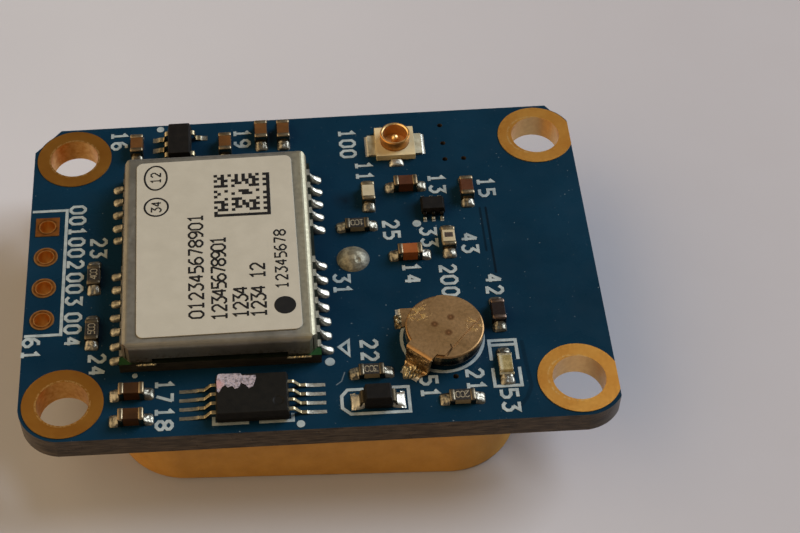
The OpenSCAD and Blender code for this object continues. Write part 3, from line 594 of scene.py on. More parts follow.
def shield_sheet():
    """Dull sheet with brown specks low on its walls, and a painted highlight along the side that faces
    the light.
    """
    edge = corners("receiver_shield")[1].x
    finish = metal("shield_sheet", rgb(123, 119, 109), rgb(140, 136, 126), rough=(0.46, 0.56))
    # Painted highlight: paler along the side that faces the light
    finish.tint(finish.along(edge - 1.4, edge - 0.4), rgb(160, 153, 130))
    low = finish.inverse(finish.above(top_of("receiver_shield") - 0.7, 0.9))
    specks = finish.ramp(finish.noise(0.22, detail=4), (0.5, 0.0), (0.6, 0.75))
    finish.tint(finish.times(low, specks), rgb(84, 66, 44))
    return finish


def pad_solder():
    """Solder of the leads and edge pads, painted brighter beyond the receiver, on the side where the
    light falls.
    """
    finish = metal("solder", rgb(122, 115, 98), rgb(166, 160, 144), rough=(0.34, 0.5), grain=0.12)
    # Painted highlight: brighter towards the lit side of the board
    finish.tint(finish.along(-6, 1), rgb(186, 181, 167))
    return finish


SLOT_FINISHES = [
    solder_mask(),
    gold_plating(),
    antenna_ceramic(),
    metal("silver_electrode", rgb(170, 168, 160), rgb(206, 204, 198), rough=(0.4, 0.55)),
    solid("adhesive_tape", rgb(196, 190, 176), rgb(214, 210, 198), rough=(0.7, 0.85)),
    tinned("tinned_metal", rgb(160, 143, 108), rgb(196, 180, 144)),
    pad_solder(),
    receiver_laminate(),
    shield_sheet(),
    solid("label_film", rgb(163, 157, 142), rgb(169, 163, 148), rough=(0.5, 0.62), relief=0.002),
    solid("black_moulding", rgb(14, 12, 10), rgb(22, 19, 16), rough=(0.5, 0.66), grain=0.08, **DULL),
    ceramic("brown_ceramic", rgb(78, 49, 21), rgb(95, 61, 28)),
    resistor_glaze(),
    ceramic("white_ceramic", rgb(162, 150, 122), rgb(180, 169, 143)),
    ceramic("dark_ferrite", rgb(22, 14, 11), rgb(32, 22, 18)),
    lens_resin(),
    connector_insulator(),
    cell_steel(),
]
MATERIALS = {finish.name: finish for finish in SLOT_FINISHES}

# Finishes of single nodes, where they differ from the rest of their slot
RED_CERAMIC = ceramic("red_ceramic", rgb(62, 34, 18), rgb(78, 45, 26))
DARK_CERAMIC = ceramic("dark_ceramic", rgb(46, 27, 9), rgb(62, 37, 14))
NODE_FINISHES = {
    "header_eyelets": header_gold(),
    "led_terminals": MATERIALS["tinned_metal"],
    "capacitor_end_caps": tinned("capacitor_caps", rgb(116, 100, 76), rgb(146, 130, 104)),
    "resistor_end_caps": tinned("resistor_caps", rgb(88, 79, 64), rgb(116, 106, 88)),
    "inductor_end_caps": inductor_caps(),
    "battery_upper_tab": cell_tab(),
    "diode_terminals": metal("diode_tabs", rgb(62, 55, 43), rgb(104, 94, 76), rough=(0.42, 0.56)),
    "antenna_feed_solder": feed_solder(),
    "coax_shell": coax_metal(),
    "coax_contact": coax_metal(),
    "memory_body": memory_moulding(),
    "amplifier_leads": amplifier_leads(),
    "inductor_2": inductor_window(),
    "capacitor_5": RED_CERAMIC,
    "capacitor_6": RED_CERAMIC,
    "capacitor_7": ceramic("orange_ceramic", rgb(120, 64, 28), rgb(140, 79, 38)),
    "capacitor_8": DARK_CERAMIC,
    "capacitor_9": DARK_CERAMIC,
}

# Kinds of node in each slot, by the start of their names, of which the longest match counts
SLOT_NODES = {
    "solder_mask": "circuit_board",
    "gold_plating": "mounting_eyelets header_eyelets led_terminals coax_shell coax_contact",
    "antenna_ceramic": "antenna_ceramic",
    "silver_electrode": "antenna_patch antenna_ground",
    "adhesive_tape": "antenna_tape",
    "tinned_metal": (
        "antenna_feed_pin receiver_oscillator capacitor_end_caps resistor_end_caps "
        "inductor_end_caps memory_leads regulator_leads amplifier_leads diode_terminals"
    ),
    "solder": "antenna_feed_solder receiver_solder chip_solder lead_solder",
    "receiver_laminate": "receiver_board",
    "shield_sheet": "receiver_shield",
    "label_film": "receiver_label",
    "black_moulding": "receiver_chip memory_body regulator_body amplifier_body diode_body",
    "white_ceramic": "receiver_filter led_base inductor",
    "lens_resin": "led_lens",
    "connector_insulator": "coax_base",
    "cell_steel": "battery",
    "brown_ceramic": "capacitor",
    "resistor_glaze": "resistor",
    "dark_ferrite": "inductor_3",
}
NODE_SLOTS = {node: slot for slot, nodes in SLOT_NODES.items() for node in nodes.split()}

# Width of the rounded edges, none where a piece is round or thin already
USUAL_EDGE = 0.04
NODE_EDGES = {
    "antenna_ceramic": 0.2,
    "diode_body": 0.1,
    "regulator_body": 0.06,
    "receiver_shield": 0.03,
    "receiver_label": 0.02,
}
NO_EDGE = (
    "circuit_board", "mounting_eyelets", "header_eyelets", "antenna_", "coax_shell", "coax_contact",
    "battery_", "receiver_board",
)
WELD_GAP = 0.0005
FLAT_ANGLE = 1
SHARP_ANGLE = 40


def slot_of(node):
    matches = [name for name in NODE_SLOTS if node.startswith(name)]
    return NODE_SLOTS[max(matches, key=len)]


def soften(piece, width):
    """Rounds the sharp edges of a piece."""
    weld = piece.modifiers.new("weld", "WELD")
    weld.merge_threshold = WELD_GAP * MM
    flatten = piece.modifiers.new("flatten", "DECIMATE")
    flatten.decimate_type = "DISSOLVE"
    flatten.angle_limit = math.radians(FLAT_ANGLE)
    bevel = piece.modifiers.new("bevel", "BEVEL")
    bevel.width = width * MM
    bevel.segments = 2
    bevel.limit_method = "ANGLE"
    bevel.angle_limit = math.radians(SHARP_ANGLE)
    bevel.harden_normals = piece.name != "antenna_ceramic"
    if not bevel.harden_normals:
        piece.modifiers.new("even", "WEIGHTED_NORMAL")


def dress_nodes():
    for name, node in NODES.items():
        finish = NODE_FINISHES.get(name) or MATERIALS[slot_of(name)]
        node.data.materials.clear()
        node.data.materials.append(finish.material)
        width = NODE_EDGES.get(name, 0 if name.startswith(NO_EDGE) else USUAL_EDGE)
        if width:
            soften(node, width)


# Meshes

CREASE_ANGLE = 50


def piece_from(bm, name, slot, material=None, smooth=False):
    """Turns a bmesh into a piece that rides on the module."""
    bmesh.ops.recalc_face_normals(bm, faces=bm.faces)
    mesh = bpy.data.meshes.new(name)
    bm.to_mesh(mesh)
    bm.free()
    if smooth:
        mesh.shade_smooth()
        mesh.set_sharp_from_angle(angle=math.radians(CREASE_ANGLE))
    piece = add_object(name, mesh)
    mesh.materials.append(material or MATERIALS[slot].material)
    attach(piece, BODY)
    return piece


def vert(bm, x, y, z):
    return bm.verts.new((x * MM, y * MM, z * MM))


def prism(bm, outline, bottom, top):
    """Upright prism on an outline."""
    low = [vert(bm, x, y, bottom) for x, y in outline]
    high = [vert(bm, x, y, top) for x, y in outline]
    bm.faces.new(high)
    bm.faces.new(low[::-1])
    for k in range(len(low)):
        bm.faces.new((low[k - 1], low[k], high[k], high[k - 1]))


def block(bm, low, high, bottom, top):
    """Upright block on a rectangle."""
    prism(bm, [low, (high[0], low[1]), high, (low[0], high[1])], bottom, top)


def circle(centre, radius, sides=24):
    x, y = centre
    turn = 2 * math.pi / sides
    return [(x + radius * math.cos(k * turn), y + radius * math.sin(k * turn)) for k in range(sides)]


MITRE_LEAST = 0.5


def rail(points, width, closed):
    """Left and right points along a path, with mitred corners."""
    points = [Vector(p) for p in points]
    last = len(points) - 1
    rails = []
    for k, here in enumerate(points):
        before = points[k - 1] if closed or k > 0 else here * 2 - points[1]
        after = points[(k + 1) % len(points)] if closed or k < last else here * 2 - points[k - 1]
        into = (here - before).normalized()
        out = (after - here).normalized()
        left = Vector((-into.y, into.x))
        side = Vector((-into.y - out.y, into.x + out.x))
        side = side.normalized() if side.length > 1e-6 else left
        half = side * width / 2 / max(side.dot(left), MITRE_LEAST)
        rails.append((here + half, here - half))
    return rails


def stroke(bm, points, width, bottom, top, closed=False):
    """Flat line of even width along a path."""
    rows = []
    for left, right in rail(points, width, closed):
        ring = ((left, bottom), (right, bottom), (right, top), (left, top))
        rows.append([vert(bm, p.x, p.y, z) for p, z in ring])
    count = len(rows)
    for k in range(count if closed else count - 1):
        here, after = rows[k], rows[(k + 1) % count]
        for side in range(4):
            bm.faces.new((here[side - 1], here[side], after[side], after[side - 1]))
    if not closed:
        bm.faces.new(rows[0])
        bm.faces.new(rows[-1][::-1])


# Solder

JOINT_ROWS = 7
JOINT_CORNER = 5
JOINT_COLUMNS = 10
# How it widens towards the toe, how round its toe and its crown are, and how uneven it is
JOINT_SPREAD = 0.6
JOINT_TOE = 5
JOINT_CROWN = 3
JOINT_RIPPLE = (0.9, 1.06)
JOINT_LEAST = 0.01


def joint(bm, place, turn, reach, rise, root, toe, lip, corner, curve=2.4):
    """Solder that hollows down from a wall at its root to a low, rounded toe on the board."""
    spin = Matrix.Rotation(math.radians(turn), 2)
    steps = [(reach - corner) * k / JOINT_ROWS for k in range(JOINT_ROWS)]
    rows = [(u, 0) for u in steps]
    for k in range(JOINT_CORNER + 1):
        angle = math.pi / 2 * k / JOINT_CORNER
        rows.append((reach - corner + corner * math.sin(angle), corner * (1 - math.cos(angle))))
    rings = []
    for u, narrow in rows:
        share = u / reach
        half = (root + (toe - root) * share ** JOINT_SPREAD) / 2
        half = max(half - narrow, JOINT_LEAST)
        height = (rise - lip) * (1 - share) ** curve + lip * math.sqrt(max(1 - share ** JOINT_TOE, 0.0))
        ring = []
        for j in range(JOINT_COLUMNS + 1):
            v = 2 * j / JOINT_COLUMNS - 1
            x, y = spin @ Vector((u, half * v))
            crown = (1 - abs(v) ** JOINT_CROWN) ** 0.5
            z = BOARD_TOP + height * crown * random.uniform(*JOINT_RIPPLE)
            ring.append(vert(bm, place[0] + x, place[1] + y, z))
        rings.append(ring)
    for here, after in zip(rings, rings[1:]):
        for j in range(JOINT_COLUMNS):
            bm.faces.new((here[j], here[j + 1], after[j + 1], after[j]))
        bm.faces.new((here[0], after[0], after[-1], here[-1]))
    bm.faces.new(rings[0])
    bm.faces.new(rings[-1][::-1])


def varied(value, share):
    return value * random.uniform(1 - share, 1 + share)


PAD_Y = [6.95, 5.85, 4.75, 3.65, 2.55, -0.45, -1.55, -2.65, -3.75, -4.85, -5.95, -7.05]
PAD_RIGHT = {"reach": 0.76, "rise": 0.74, "root": 0.4, "toe": 0.66, "lip": 0.2, "corner": 0.28}
PAD_LEFT = {"reach": 0.72, "rise": 0.34, "root": 0.44, "toe": 0.62, "lip": 0.2, "corner": 0.28}
# How far each one differs, in order of drawing
PAD_SHIFT = 0.03
PAD_TURN = 6
PAD_VARIES = {"reach": 0.06, "root": 0.1, "toe": 0.08}


def receiver_joints():
    low, high = corners("receiver_board")
    bm = bmesh.new()
    for x, turn, usual in ((high.x, 0, PAD_RIGHT), (low.x, 180, PAD_LEFT)):
        for y in PAD_Y:
            place = (x, y + random.uniform(-PAD_SHIFT, PAD_SHIFT))
            skew = random.uniform(-PAD_TURN, PAD_TURN)
            form = {**usual, **{name: varied(usual[name], share) for name, share in PAD_VARIES.items()}}
            joint(bm, place, turn + skew, **form)
    piece = piece_from(bm, "receiver_joints", "solder", smooth=True)
    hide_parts("receiver_solder")


LAND = {"length": 0.2, "width": 0.5, "height": 0.05}


def receiver_lands():
    """Tinned lands on top of the receiver's board, at its edge pads."""
    low, high = corners("receiver_board")
    top = high.z
    bm = bmesh.new()
    for x, side in ((high.x, -1), (low.x, 1)):
        for y in PAD_Y:
            half = varied(LAND["width"], 0.1) / 2
            x0, x1 = sorted((x, x + side * LAND["length"]))
            block(bm, (x0, y - half), (x1, y + half), top, top + LAND["height"])
    piece_from(bm, "receiver_lands", "solder")


DIODE_JOINT = {
    "reach": 0.78, "rise": 0.42, "root": 0.95, "toe": 1.2, "lip": 0.17, "corner": 0.14, "curve": 2.6
}


def diode_joints():
    low, high = corners("diode_body")
    y = (low.y + high.y) / 2
    bm = bmesh.new()
    for x, turn in ((high.x, 0), (low.x, 180)):
        joint(bm, (x, y), turn, **DIODE_JOINT)
    piece_from(bm, "diode_joints", "solder", smooth=True)


# Crumpled solder on the lands of the cell: its corners and its height
CELL_LUMPS = [((5.22, -9.46), (6.42, -8.5), 0.32), ((5.02, -5.68), (5.58, -4.62), 0.24)]
# Middle of the lump on the other land, which is coloured darker
DARKER_LUMP = (5.3, -5.15)
LUMP_STEP = 0.09
# Share of the rise at the rim of a lump, its gain with each step inwards, and how far its points wander
LUMP_RIM = 0.45
LUMP_GAIN = 0.2
LUMP_WANDER = 0.3
RIM_WANDER = 0.12


def lump(bm, low, high, rise, ground=BOARD_TOP):
    """Crumpled mound of solder on a land."""
    columns = round((high[0] - low[0]) / LUMP_STEP)
    rows = round((high[1] - low[1]) / LUMP_STEP)
    grid = []
    for j in range(rows + 1):
        line = []
        for i in range(columns + 1):
            inner = min(i, columns - i, j, rows - j)
            inside = inner > 0
            full = rise * min(1, LUMP_RIM + inner * LUMP_GAIN)
            height = full * random.uniform(0.5, 1) if inside else 0
            wander = LUMP_WANDER if inside else RIM_WANDER
            x = low[0] + (i + random.uniform(-wander, wander)) * LUMP_STEP
            y = low[1] + (j + random.uniform(-wander, wander)) * LUMP_STEP
            line.append(vert(bm, x, y, ground + height))
        grid.append(line)
    for here, after in zip(grid, grid[1:]):
        for i in range(columns):
            bm.faces.new((here[i], here[i + 1], after[i + 1], after[i]))
    right = [line[-1] for line in grid[1:]]
    left = [line[0] for line in grid[-2:0:-1]]
    rim = grid[0] + right + grid[-1][-2::-1] + left
    bm.faces.new(rim[::-1])


# Solder under the feet of the shield's near wall: its ends, from the middle of the receiver
FOOT_SOLDER = [(-5.1, -3.8), (4.05, 5.55)]
FOOT_HALF = 0.09
FOOT_RISE = 0.13
FOOT_SUNK = 0.08


def golden_solder():
    bm = bmesh.new()
    for low, high, rise in CELL_LUMPS:
        lump(bm, low, high, rise)
    low, high = corners("receiver_board")
    middle_x = (low.x + high.x) / 2
    for start, end in FOOT_SOLDER:
        near = (middle_x + start, low.y - FOOT_HALF)
        far = (middle_x + end, low.y + FOOT_HALF)
        lump(bm, near, far, FOOT_RISE, high.z - FOOT_SUNK)
    dark, light = rgb(140, 123, 92), rgb(214, 202, 166)
    golden = metal("golden_solder", dark, light, rough=(0.26, 0.44), grain=0.1)
    golden.tint(golden.near(DARKER_LUMP, 0.6, 0.2), rgb(112, 97, 70))
    piece_from(bm, "golden_solder", "solder", golden.material)


SIGNAL_JOINT = {"reach": 0.44, "rise": 0.24, "root": 0.94, "toe": 0.98, "lip": 0.22, "corner": 0.12}
SIGNAL_OUT = 0.16


def signal_joint():
    """Solder on the coaxial connector's signal tail."""
    low, high = corners("coax_base")
    bm = bmesh.new()
    joint(bm, ((low.x + high.x) / 2, low.y - SIGNAL_OUT), -90, **SIGNAL_JOINT)
    piece_from(bm, "signal_joint", "solder", smooth=True)


CAP_SHEET = 0.04
CHIP_REACH = 0.56
CHIP_RISE = 0.36
CHIP_LIP = 0.22
CHIP_ROOT = 0.96
CHIP_SKEW = 3
CHIP_KINDS = ("capacitor", "resistor", "inductor")


def numbered(name, kinds):
    """Whether a node is one of the numbered parts of these kinds."""
    part, _, number = name.partition("_")
    return part in kinds and number.isdigit()


def chip_joints():
    bm = bmesh.new()
    for name in NODES:
        if not numbered(name, CHIP_KINDS) and name != "led_base":
            continue
        low, high = corners(name)
        x, y = middle(name)
        length = high - low
        turned = length.y > length.x
        end = max(length.x, length.y) / 2 + CAP_SHEET
        breadth = min(length.x, length.y) + 2 * CAP_SHEET
        for side in (1, -1):
            place = (x, y + side * end) if turned else (x + side * end, y)
            turn = (90 if turned else 0) + (0 if side > 0 else 180)
            skew = random.uniform(-CHIP_SKEW, CHIP_SKEW)
            joint(
                bm, place, turn + skew, reach=varied(CHIP_REACH, 0.05), rise=varied(CHIP_RISE, 0.1),
                root=breadth * CHIP_ROOT, toe=varied(breadth, 0.04), lip=varied(CHIP_LIP, 0.1),
                corner=0.2, curve=2.6,
            )
    tin = metal("chip_tin", rgb(108, 102, 88), rgb(154, 149, 136), rough=(0.32, 0.46), grain=0.14)
    tin.bump(tin.noise(0.34, detail=1), 0.1)
    piece = piece_from(bm, "chip_joints", "solder", tin.material, smooth=True)
    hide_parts("chip_solder")


CAP_LENGTH = 0.36
CAP_ROUND = 0.11


def rounded_block(bm, low, high, radius):
    verts = [vert(bm, *corner) for corner in itertools.product(*zip(low, high))]
    sides = ((0, 1, 3, 2), (4, 6, 7, 5), (0, 4, 5, 1), (2, 3, 7, 6), (0, 2, 6, 4), (1, 5, 7, 3))
    faces = [bm.faces.new([verts[k] for k in side]) for side in sides]
    edges = {edge for face in faces for edge in face.edges}
    bmesh.ops.bevel(bm, geom=list(edges), offset=radius * MM, segments=3, profile=0.5, affect="EDGES")


def end_caps(part):
    """Metal ends of one kind of chip part, with soft corners."""
    node = part + "_end_caps"
    bm = bmesh.new()
    for name in NODES:
        if not numbered(name, (part,)):
            continue
        low, high = corners(name)
        axis = 1 if high.y - low.y > high.x - low.x else 0
        grown = Vector.Fill(3, CAP_SHEET)
        low, high = low - grown, high + grown
        near, far = low.copy(), high.copy()
        far[axis] = low[axis] + CAP_LENGTH
        near[axis] = high[axis] - CAP_LENGTH
        rounded_block(bm, low, far, CAP_ROUND)
        rounded_block(bm, near, high, CAP_ROUND)
    piece = piece_from(bm, node + "_soft", "tinned_metal", NODE_FINISHES[node].material, smooth=True)
    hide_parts(node)


def loop(a, b, c, d):
    """Eight-sided closed line that goes through four heights and back."""
    return [(0.2, a), (0, b), (0, c), (0.2, d), (0.4, d), (0.6, c), (0.6, b), (0.4, a), (0.2, a)]


# Plain stroke figures in a box 0.6 wide and 1 high, closed where a line ends at its start
FIGURES = {
    "0": [loop(0, 0.2, 0.8, 1)],
    "1": [[(0.08, 0.8), (0.3, 1), (0.3, 0)], [(0.08, 0), (0.52, 0)]],
    "2": [[(0, 0.8), (0.2, 1), (0.42, 1), (0.6, 0.8), (0.6, 0.6), (0.06, 0)], [(0, 0), (0.6, 0)]],
    "3": [
        [(0, 1), (0.6, 1), (0.28, 0.6)],
        [(0.28, 0.6), (0.42, 0.6), (0.6, 0.42), (0.6, 0.2), (0.4, 0), (0.18, 0), (0, 0.16)],
    ],
    "4": [[(0.45, 0), (0.45, 1)], [(0.45, 1), (0, 0.3)], [(0, 0.3), (0.6, 0.3)]],
    "5": [[(0.58, 1), (0.05, 1), (0.05, 0.58), (0.4, 0.58), (0.6, 0.4), (0.6, 0.18), (0.4, 0), (0, 0)]],
    "6": [[(0.5, 1), (0.25, 1), (0, 0.7), (0, 0.36)], loop(0.56, 0.36, 0.18, 0)],
    "7": [[(0, 1), (0.6, 1)], [(0.58, 1), (0.2, 0)]],
    "8": [loop(0.54, 0.7, 0.85, 1), loop(0.5, 0.36, 0.16, 0)],
    "9": [[(0.1, 0), (0.35, 0), (0.6, 0.3), (0.6, 0.64)], loop(0.44, 0.64, 0.82, 1)],
}
FIGURE_MIDDLE = Vector((0.3, 0.5))
# Step in height between lines that cross, so that no two faces coincide
LAYER = 0.0015


def numbers(bm, text, centre, height, pitch, width, turn, bottom, top):
    """A row of plain figures about a centre, turned by an angle."""
    spin = Matrix.Rotation(math.radians(turn), 2)
    start = -(len(text) - 1) * pitch / 2
    for k, figure in enumerate(text):
        for layer, line in enumerate(FIGURES.get(figure, [])):
            across = Vector((start + k * pitch, 0))
            local = [across + (Vector(point) - FIGURE_MIDDLE) * height for point in line]
            points = [Vector(centre) + spin @ point for point in local]
            closed = line[0] == line[-1]
            stroke(bm, points[:-1] if closed else points, width, bottom, top + layer * LAYER, closed)


# Print on the board

INK = 0.02
LINE = 0.2
FIGURE_HEIGHT = 0.95
FIGURE_PITCH = 0.93
BOARD_READS = -90

BOARD_NUMBERS = [
    ("16", (-12.35, 11.45)), ("19", (-4, 11.1)), ("100", (3.1, 10.1)), ("11", (4.05, 7.55)),
    ("13", (8.75, 6.1)), ("15", (11.95, 5.55)), ("25", (5.45, 2.35)), ("33", (7.8, 1.6)),
    ("43", (10.35, 0.9)), ("14", (6.45, -1.35)), ("200", (8.75, -2.05)), ("42", (11.5, -2.55)),
    ("31", (2, -1.9)), ("22", (3.35, -7.15)), ("51", (6.75, -10.1)), ("21", (9.55, -9.75)),
    ("53", (11.45, -11.35)), ("17", (-9.2, -9.45)), ("18", (-9.2, -11.45)), ("23", (-13.5, 2.1)),
    ("24", (-13.35, -7.2)), ("61", (-17.5, -5.75)),
    ("001", (-14.95, 4.5)), ("002", (-14.95, 1.75)), ("003", (-14.95, -1.2)), ("004", (-14.95, -4.4)),
]
BOARD_DOTS = [
    ((-9.55, 12.33), 0.25), ((-1.08, -12.3), 0.25), ((0.89, -7.9), 0.3),
    ((-11, -8.2), 0.17), ((7.13, 2.74), 0.28),
]
HEADER_BRACKET = [(-17.95, 5.45), (-15.67, 5.45), (-15.67, -4.77), (-17.95, -4.77)]
PIN_TRIANGLE = [(1.52, -6.83), (2.11, -6.38), (2.09, -7.47)]
MEMORY_MARKS = [
    [(-6.25, -11.5), (-6.25, -12.02), (-4.25, -12.02), (-4.25, -11.85)],
    [(-3.45, -11.85), (-3.45, -12.02), (-1.53, -12.02), (-1.53, -11.5)],
]
DIODE_FRAME = [
    (2.78, -10.05), (1.81, -10.05), (1.44, -10.49), (1.44, -11.34),
    (1.93, -11.8), (5.46, -11.8), (5.46, -10.02), (4.49, -10.02),
]
LED_FRAME_FAR = [(10.66, -8.42), (10.66, -6.95), (12.27, -6.95), (12.27, -8.42)]
LED_FRAME_NEAR = [(10.66, -9), (10.66, -10.34), (12.27, -10.34), (12.27, -9)]
LED_BAR = [(10.66, -7.3), (12.27, -7.3)]
CELL_CIRCLE = ((7.85, -6.57), 2.5)


def silkscreen():
    bm = bmesh.new()
    bottom, top = BOARD_TOP, BOARD_TOP + INK
    for text, centre in BOARD_NUMBERS:
        numbers(bm, text, centre, FIGURE_HEIGHT, FIGURE_PITCH, LINE, BOARD_READS, bottom, top)
    for centre, radius in BOARD_DOTS:
        prism(bm, circle(centre, radius), bottom, top)
    for path in (HEADER_BRACKET, DIODE_FRAME, LED_FRAME_FAR, LED_FRAME_NEAR, *MEMORY_MARKS):
        stroke(bm, path, LINE, bottom, top)
    stroke(bm, LED_BAR, LINE, bottom, top + LAYER)
    stroke(bm, PIN_TRIANGLE, LINE, bottom, top, closed=True)
    stroke(bm, circle(*CELL_CIRCLE, sides=64), LINE, bottom, top, closed=True)
    ink = solid("silkscreen_ink", rgb(124, 134, 135), rgb(160, 168, 166), rough=(0.6, 0.75), grain=0.12)
    piece_from(bm, "silkscreen", "label_film", ink.material)


# Print on the receiver's label

PRINT = 0.006
LABEL_READS = 90
LABEL_ROWS = [
    ("012345678901", (-7.05, -1.8), 0.85, 0.7),
    ("12345678901", (-5.65, -2.85), 0.85, 0.6),
    ("1234", (-4.35, -4.85), 0.85, 0.6),
    ("1234 12", (-3.25, -3.95), 0.85, 0.6),
    ("12345678", (-1.77, -1.6), 0.7, 0.6),
    ("12", (-9.6, 5.65), 0.6, 0.5),
    ("34", (-9.55, 3.15), 0.6, 0.5),
]
LABEL_FIGURE = 0.85
LABEL_LINE = 0.14
RING_LINE = 0.9 * LABEL_LINE
LABEL_DOT = ((-1.65, -5.25), 0.67)
LABEL_RINGS = [((-9.6, 5.65), (0.72, 1.03)), ((-9.55, 3.15), (0.75, 0.75))]
PATTERN_CORNER = (-5.85, 2.05)
PATTERN_SIDE = 3.6
PATTERN_CELLS = 16


def pattern_cell(i, j):
    """Plain chequered pattern with two full edges and two broken ones."""
    last = PATTERN_CELLS - 1
    if j == 0 or i == last:
        return True
    if j == last or i == 0:
        return (i + j) % 2 == 1
    return (3 * i * i + 5 * i * j + 7 * j + i) % 9 < 4


def label_print():
    bm = bmesh.new()
    bottom, top = LABEL_TOP, LABEL_TOP + PRINT
    for text, centre, height, pitch in LABEL_ROWS:
        line = LABEL_LINE * height / LABEL_FIGURE
        numbers(bm, text, centre, height, pitch, line, LABEL_READS, bottom, top)
    prism(bm, circle(*LABEL_DOT, sides=40), bottom, top)
    for (x, y), (rx, ry) in LABEL_RINGS:
        ring = [(x + rx * cx, y + ry * cy) for cx, cy in circle((0, 0), 1, sides=48)]
        stroke(bm, ring, RING_LINE, bottom, top, closed=True)
    cell = PATTERN_SIDE / PATTERN_CELLS
    for j in range(PATTERN_CELLS):
        y = PATTERN_CORNER[1] + j * cell
        for dark, run in itertools.groupby(range(PATTERN_CELLS), lambda i: pattern_cell(i, j)):
            if dark:
                columns = list(run)
                x0, x1 = (PATTERN_CORNER[0] + k * cell for k in (columns[0], columns[-1] + 1))
                block(bm, (x0, y), (x1, y + cell), bottom, top)
    ink = solid(
        "label_ink", rgb(14, 13, 12), rgb(22, 20, 18),
        rough=(0.5, 0.6), grain=0.1, relief=0.001, Specular_IOR_Level=0.2,
    )
    piece_from(bm, "label_print", "black_moulding", ink.material)


# Small marks and dirt

RESISTORS = range(1, 6)
MARK_HEIGHT = 0.42
MARK_PITCH = 0.27
MARK_LINE = 0.05


def resistor_marks():
    bm = bmesh.new()
    for number in RESISTORS:
        text = f"{number}00"
        low, high = corners(f"resistor_{number}")
        centre = (low + high) / 2
        turn = 180 if high.x - low.x > high.y - low.y else 90
        top = high.z
        numbers(bm, text, centre.xy, MARK_HEIGHT, MARK_PITCH, MARK_LINE, turn, top, top + PRINT)
    dark, light = rgb(116, 106, 86), rgb(146, 136, 112)
    ink = solid("mark_ink", dark, light, rough=(0.5, 0.65), grain=0.05, relief=0.001)
    piece_from(bm, "resistor_marks", "label_film", ink.material)


SMEAR = [
    (-5.94, -9.18), (-5.84, -9.09), (-4.55, -9.12), (-4.46, -9.28), (-3.65, -9.3),
    (-3.62, -9.5), (-3.81, -10.1), (-4.06, -10.24), (-4.24, -9.99), (-4.52, -9.8),
    (-4.67, -10.16), (-4.91, -10.22), (-5.05, -10), (-5.34, -10.1), (-5.48, -9.91),
    (-5.67, -10.07), (-5.87, -10.46), (-5.97, -10.34), (-6, -9.7),
]
SMEAR_PINK = (-5.9, -9.85)
SMEAR_THICK = 0.015


def paint_smear():
    """Smear of pale paint on the memory."""
    bm = bmesh.new()
    top = top_of("memory_body")
    prism(bm, SMEAR, top, top + SMEAR_THICK)
    dark, light = rgb(120, 110, 116), rgb(176, 162, 168)
    paint = solid("paint", dark, light, rough=(0.3, 0.5), grain=0.07, relief=0.08)
    cracks = paint.ramp(paint.noise(0.16, detail=2), (0.42, rgb(58, 52, 56)), (0.5, rgb(168, 154, 160)))
    paint.tint(0.6, cracks)
    paint.tint(paint.near(SMEAR_PINK, 0.15, 0.3), rgb(178, 136, 136))
    piece_from(bm, "paint_smear", "label_film", paint.material)


# Stage

FLOOR_HALF = 1.5
# Span of x over which the floor is painted darker, as the light falls off
PAPER_SHADE_SPAN = (-15, 30)
EYE = (-1.5325, -67.3765, 88.861)
TARGET = (-2.4518, -1.5764, 5.95)
ROLL = -3.628
FOCAL_LENGTH = 75.353
SENSOR = 36
SHIFT = (0.1607, 0.0212)
NEAREST = 0.005
KEY_TOWARD = (0.72, 0.38, 0.58)
KEY_FAR = 2.4
KEY_SIDE = 1.4
KEY_POWER = 64
KEY_COLOUR = (0.9, 1, 1.13)
ROOM_TOWARD = (-0.95, -0.1, 0.3)
ROOM_DARK = (0.105, 0.1, 0.095, 1)
ROOM_BRIGHT = (2, 1.5, 0.9, 1)
ROOM_FADE = (0.35, 0.9)


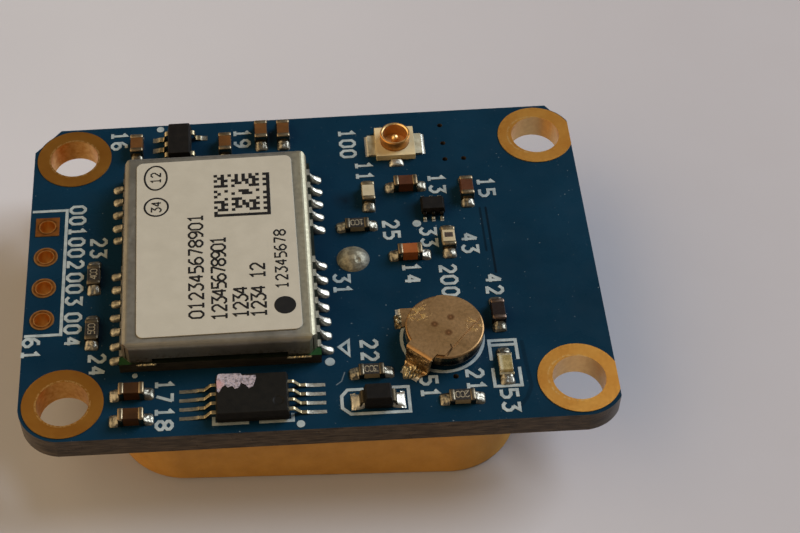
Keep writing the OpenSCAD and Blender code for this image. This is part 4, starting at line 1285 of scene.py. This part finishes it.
def make_floor():
    half = FLOOR_HALF / MM
    bm = bmesh.new()
    outline = [(-half, -half), (half, -half), (half, half), (-half, half)]
    bm.faces.new([vert(bm, x, y, 0) for x, y in outline])
    mesh = bpy.data.meshes.new("floor")
    bm.to_mesh(mesh)
    bm.free()
    floor = add_object("floor", mesh)
    dark, light = rgb(181, 179, 182), rgb(185, 183, 186)
    paper = solid("paper", dark, light, rough=(0.8, 0.9), grain=4, relief=0.02)
    # Painted shade: the floor darkens towards one side
    paper.tint(paper.along(*PAPER_SHADE_SPAN), rgb(169, 166, 170))
    mesh.materials.append(paper.material)


def make_light():
    data = bpy.data.lights.new("window", "AREA")
    data.size = KEY_SIDE
    data.energy = KEY_POWER
    data.color = KEY_COLOUR
    lamp = add_object("window", data)
    lamp.location = Vector(KEY_TOWARD).normalized() * KEY_FAR
    lamp.rotation_euler = (-lamp.location).to_track_quat("-Z", "Y").to_euler()


def make_world():
    """Dim room that is warm and brighter on one side."""
    world = bpy.data.worlds.new("room")
    world.use_nodes = True
    nodes, links = world.node_tree.nodes, world.node_tree.links
    toward = nodes.new("ShaderNodeVectorMath")
    toward.operation = "DOT_PRODUCT"
    toward.inputs[1].default_value = Vector(ROOM_TOWARD).normalized()
    links.new(nodes.new("ShaderNodeTexCoord").outputs["Generated"], toward.inputs[0])
    shade = nodes.new("ShaderNodeValToRGB")
    shade.color_ramp.interpolation = "EASE"
    dark, bright = shade.color_ramp.elements
    dark.position, bright.position = ROOM_FADE
    dark.color = ROOM_DARK
    bright.color = ROOM_BRIGHT
    links.new(toward.outputs["Value"], shade.inputs["Fac"])
    links.new(shade.outputs["Color"], nodes["Background"].inputs["Color"])
    bpy.context.scene.world = world


def make_camera():
    data = bpy.data.cameras.new("camera")
    data.sensor_width = SENSOR
    data.lens = FOCAL_LENGTH
    data.shift_x, data.shift_y = SHIFT
    data.clip_start = NEAREST
    camera = add_object("camera", data)
    look = Vector(TARGET) - Vector(EYE)
    turn = look.to_track_quat("-Z", "Y").to_matrix() @ Matrix.Rotation(math.radians(ROLL), 3, "Z")
    camera.matrix_world = Matrix.Translation(Vector(EYE) * MM) @ turn.to_4x4()
    bpy.context.scene.camera = camera


make_camera()
make_light()
make_world()
make_floor()
dress_nodes()
receiver_joints()
receiver_lands()
chip_joints()
for kind in CHIP_KINDS:
    end_caps(kind)
diode_joints()
golden_solder()
signal_joint()
silkscreen()
label_print()
resistor_marks()
paint_smear()

bpy.context.scene.view_settings.view_transform = "Standard"
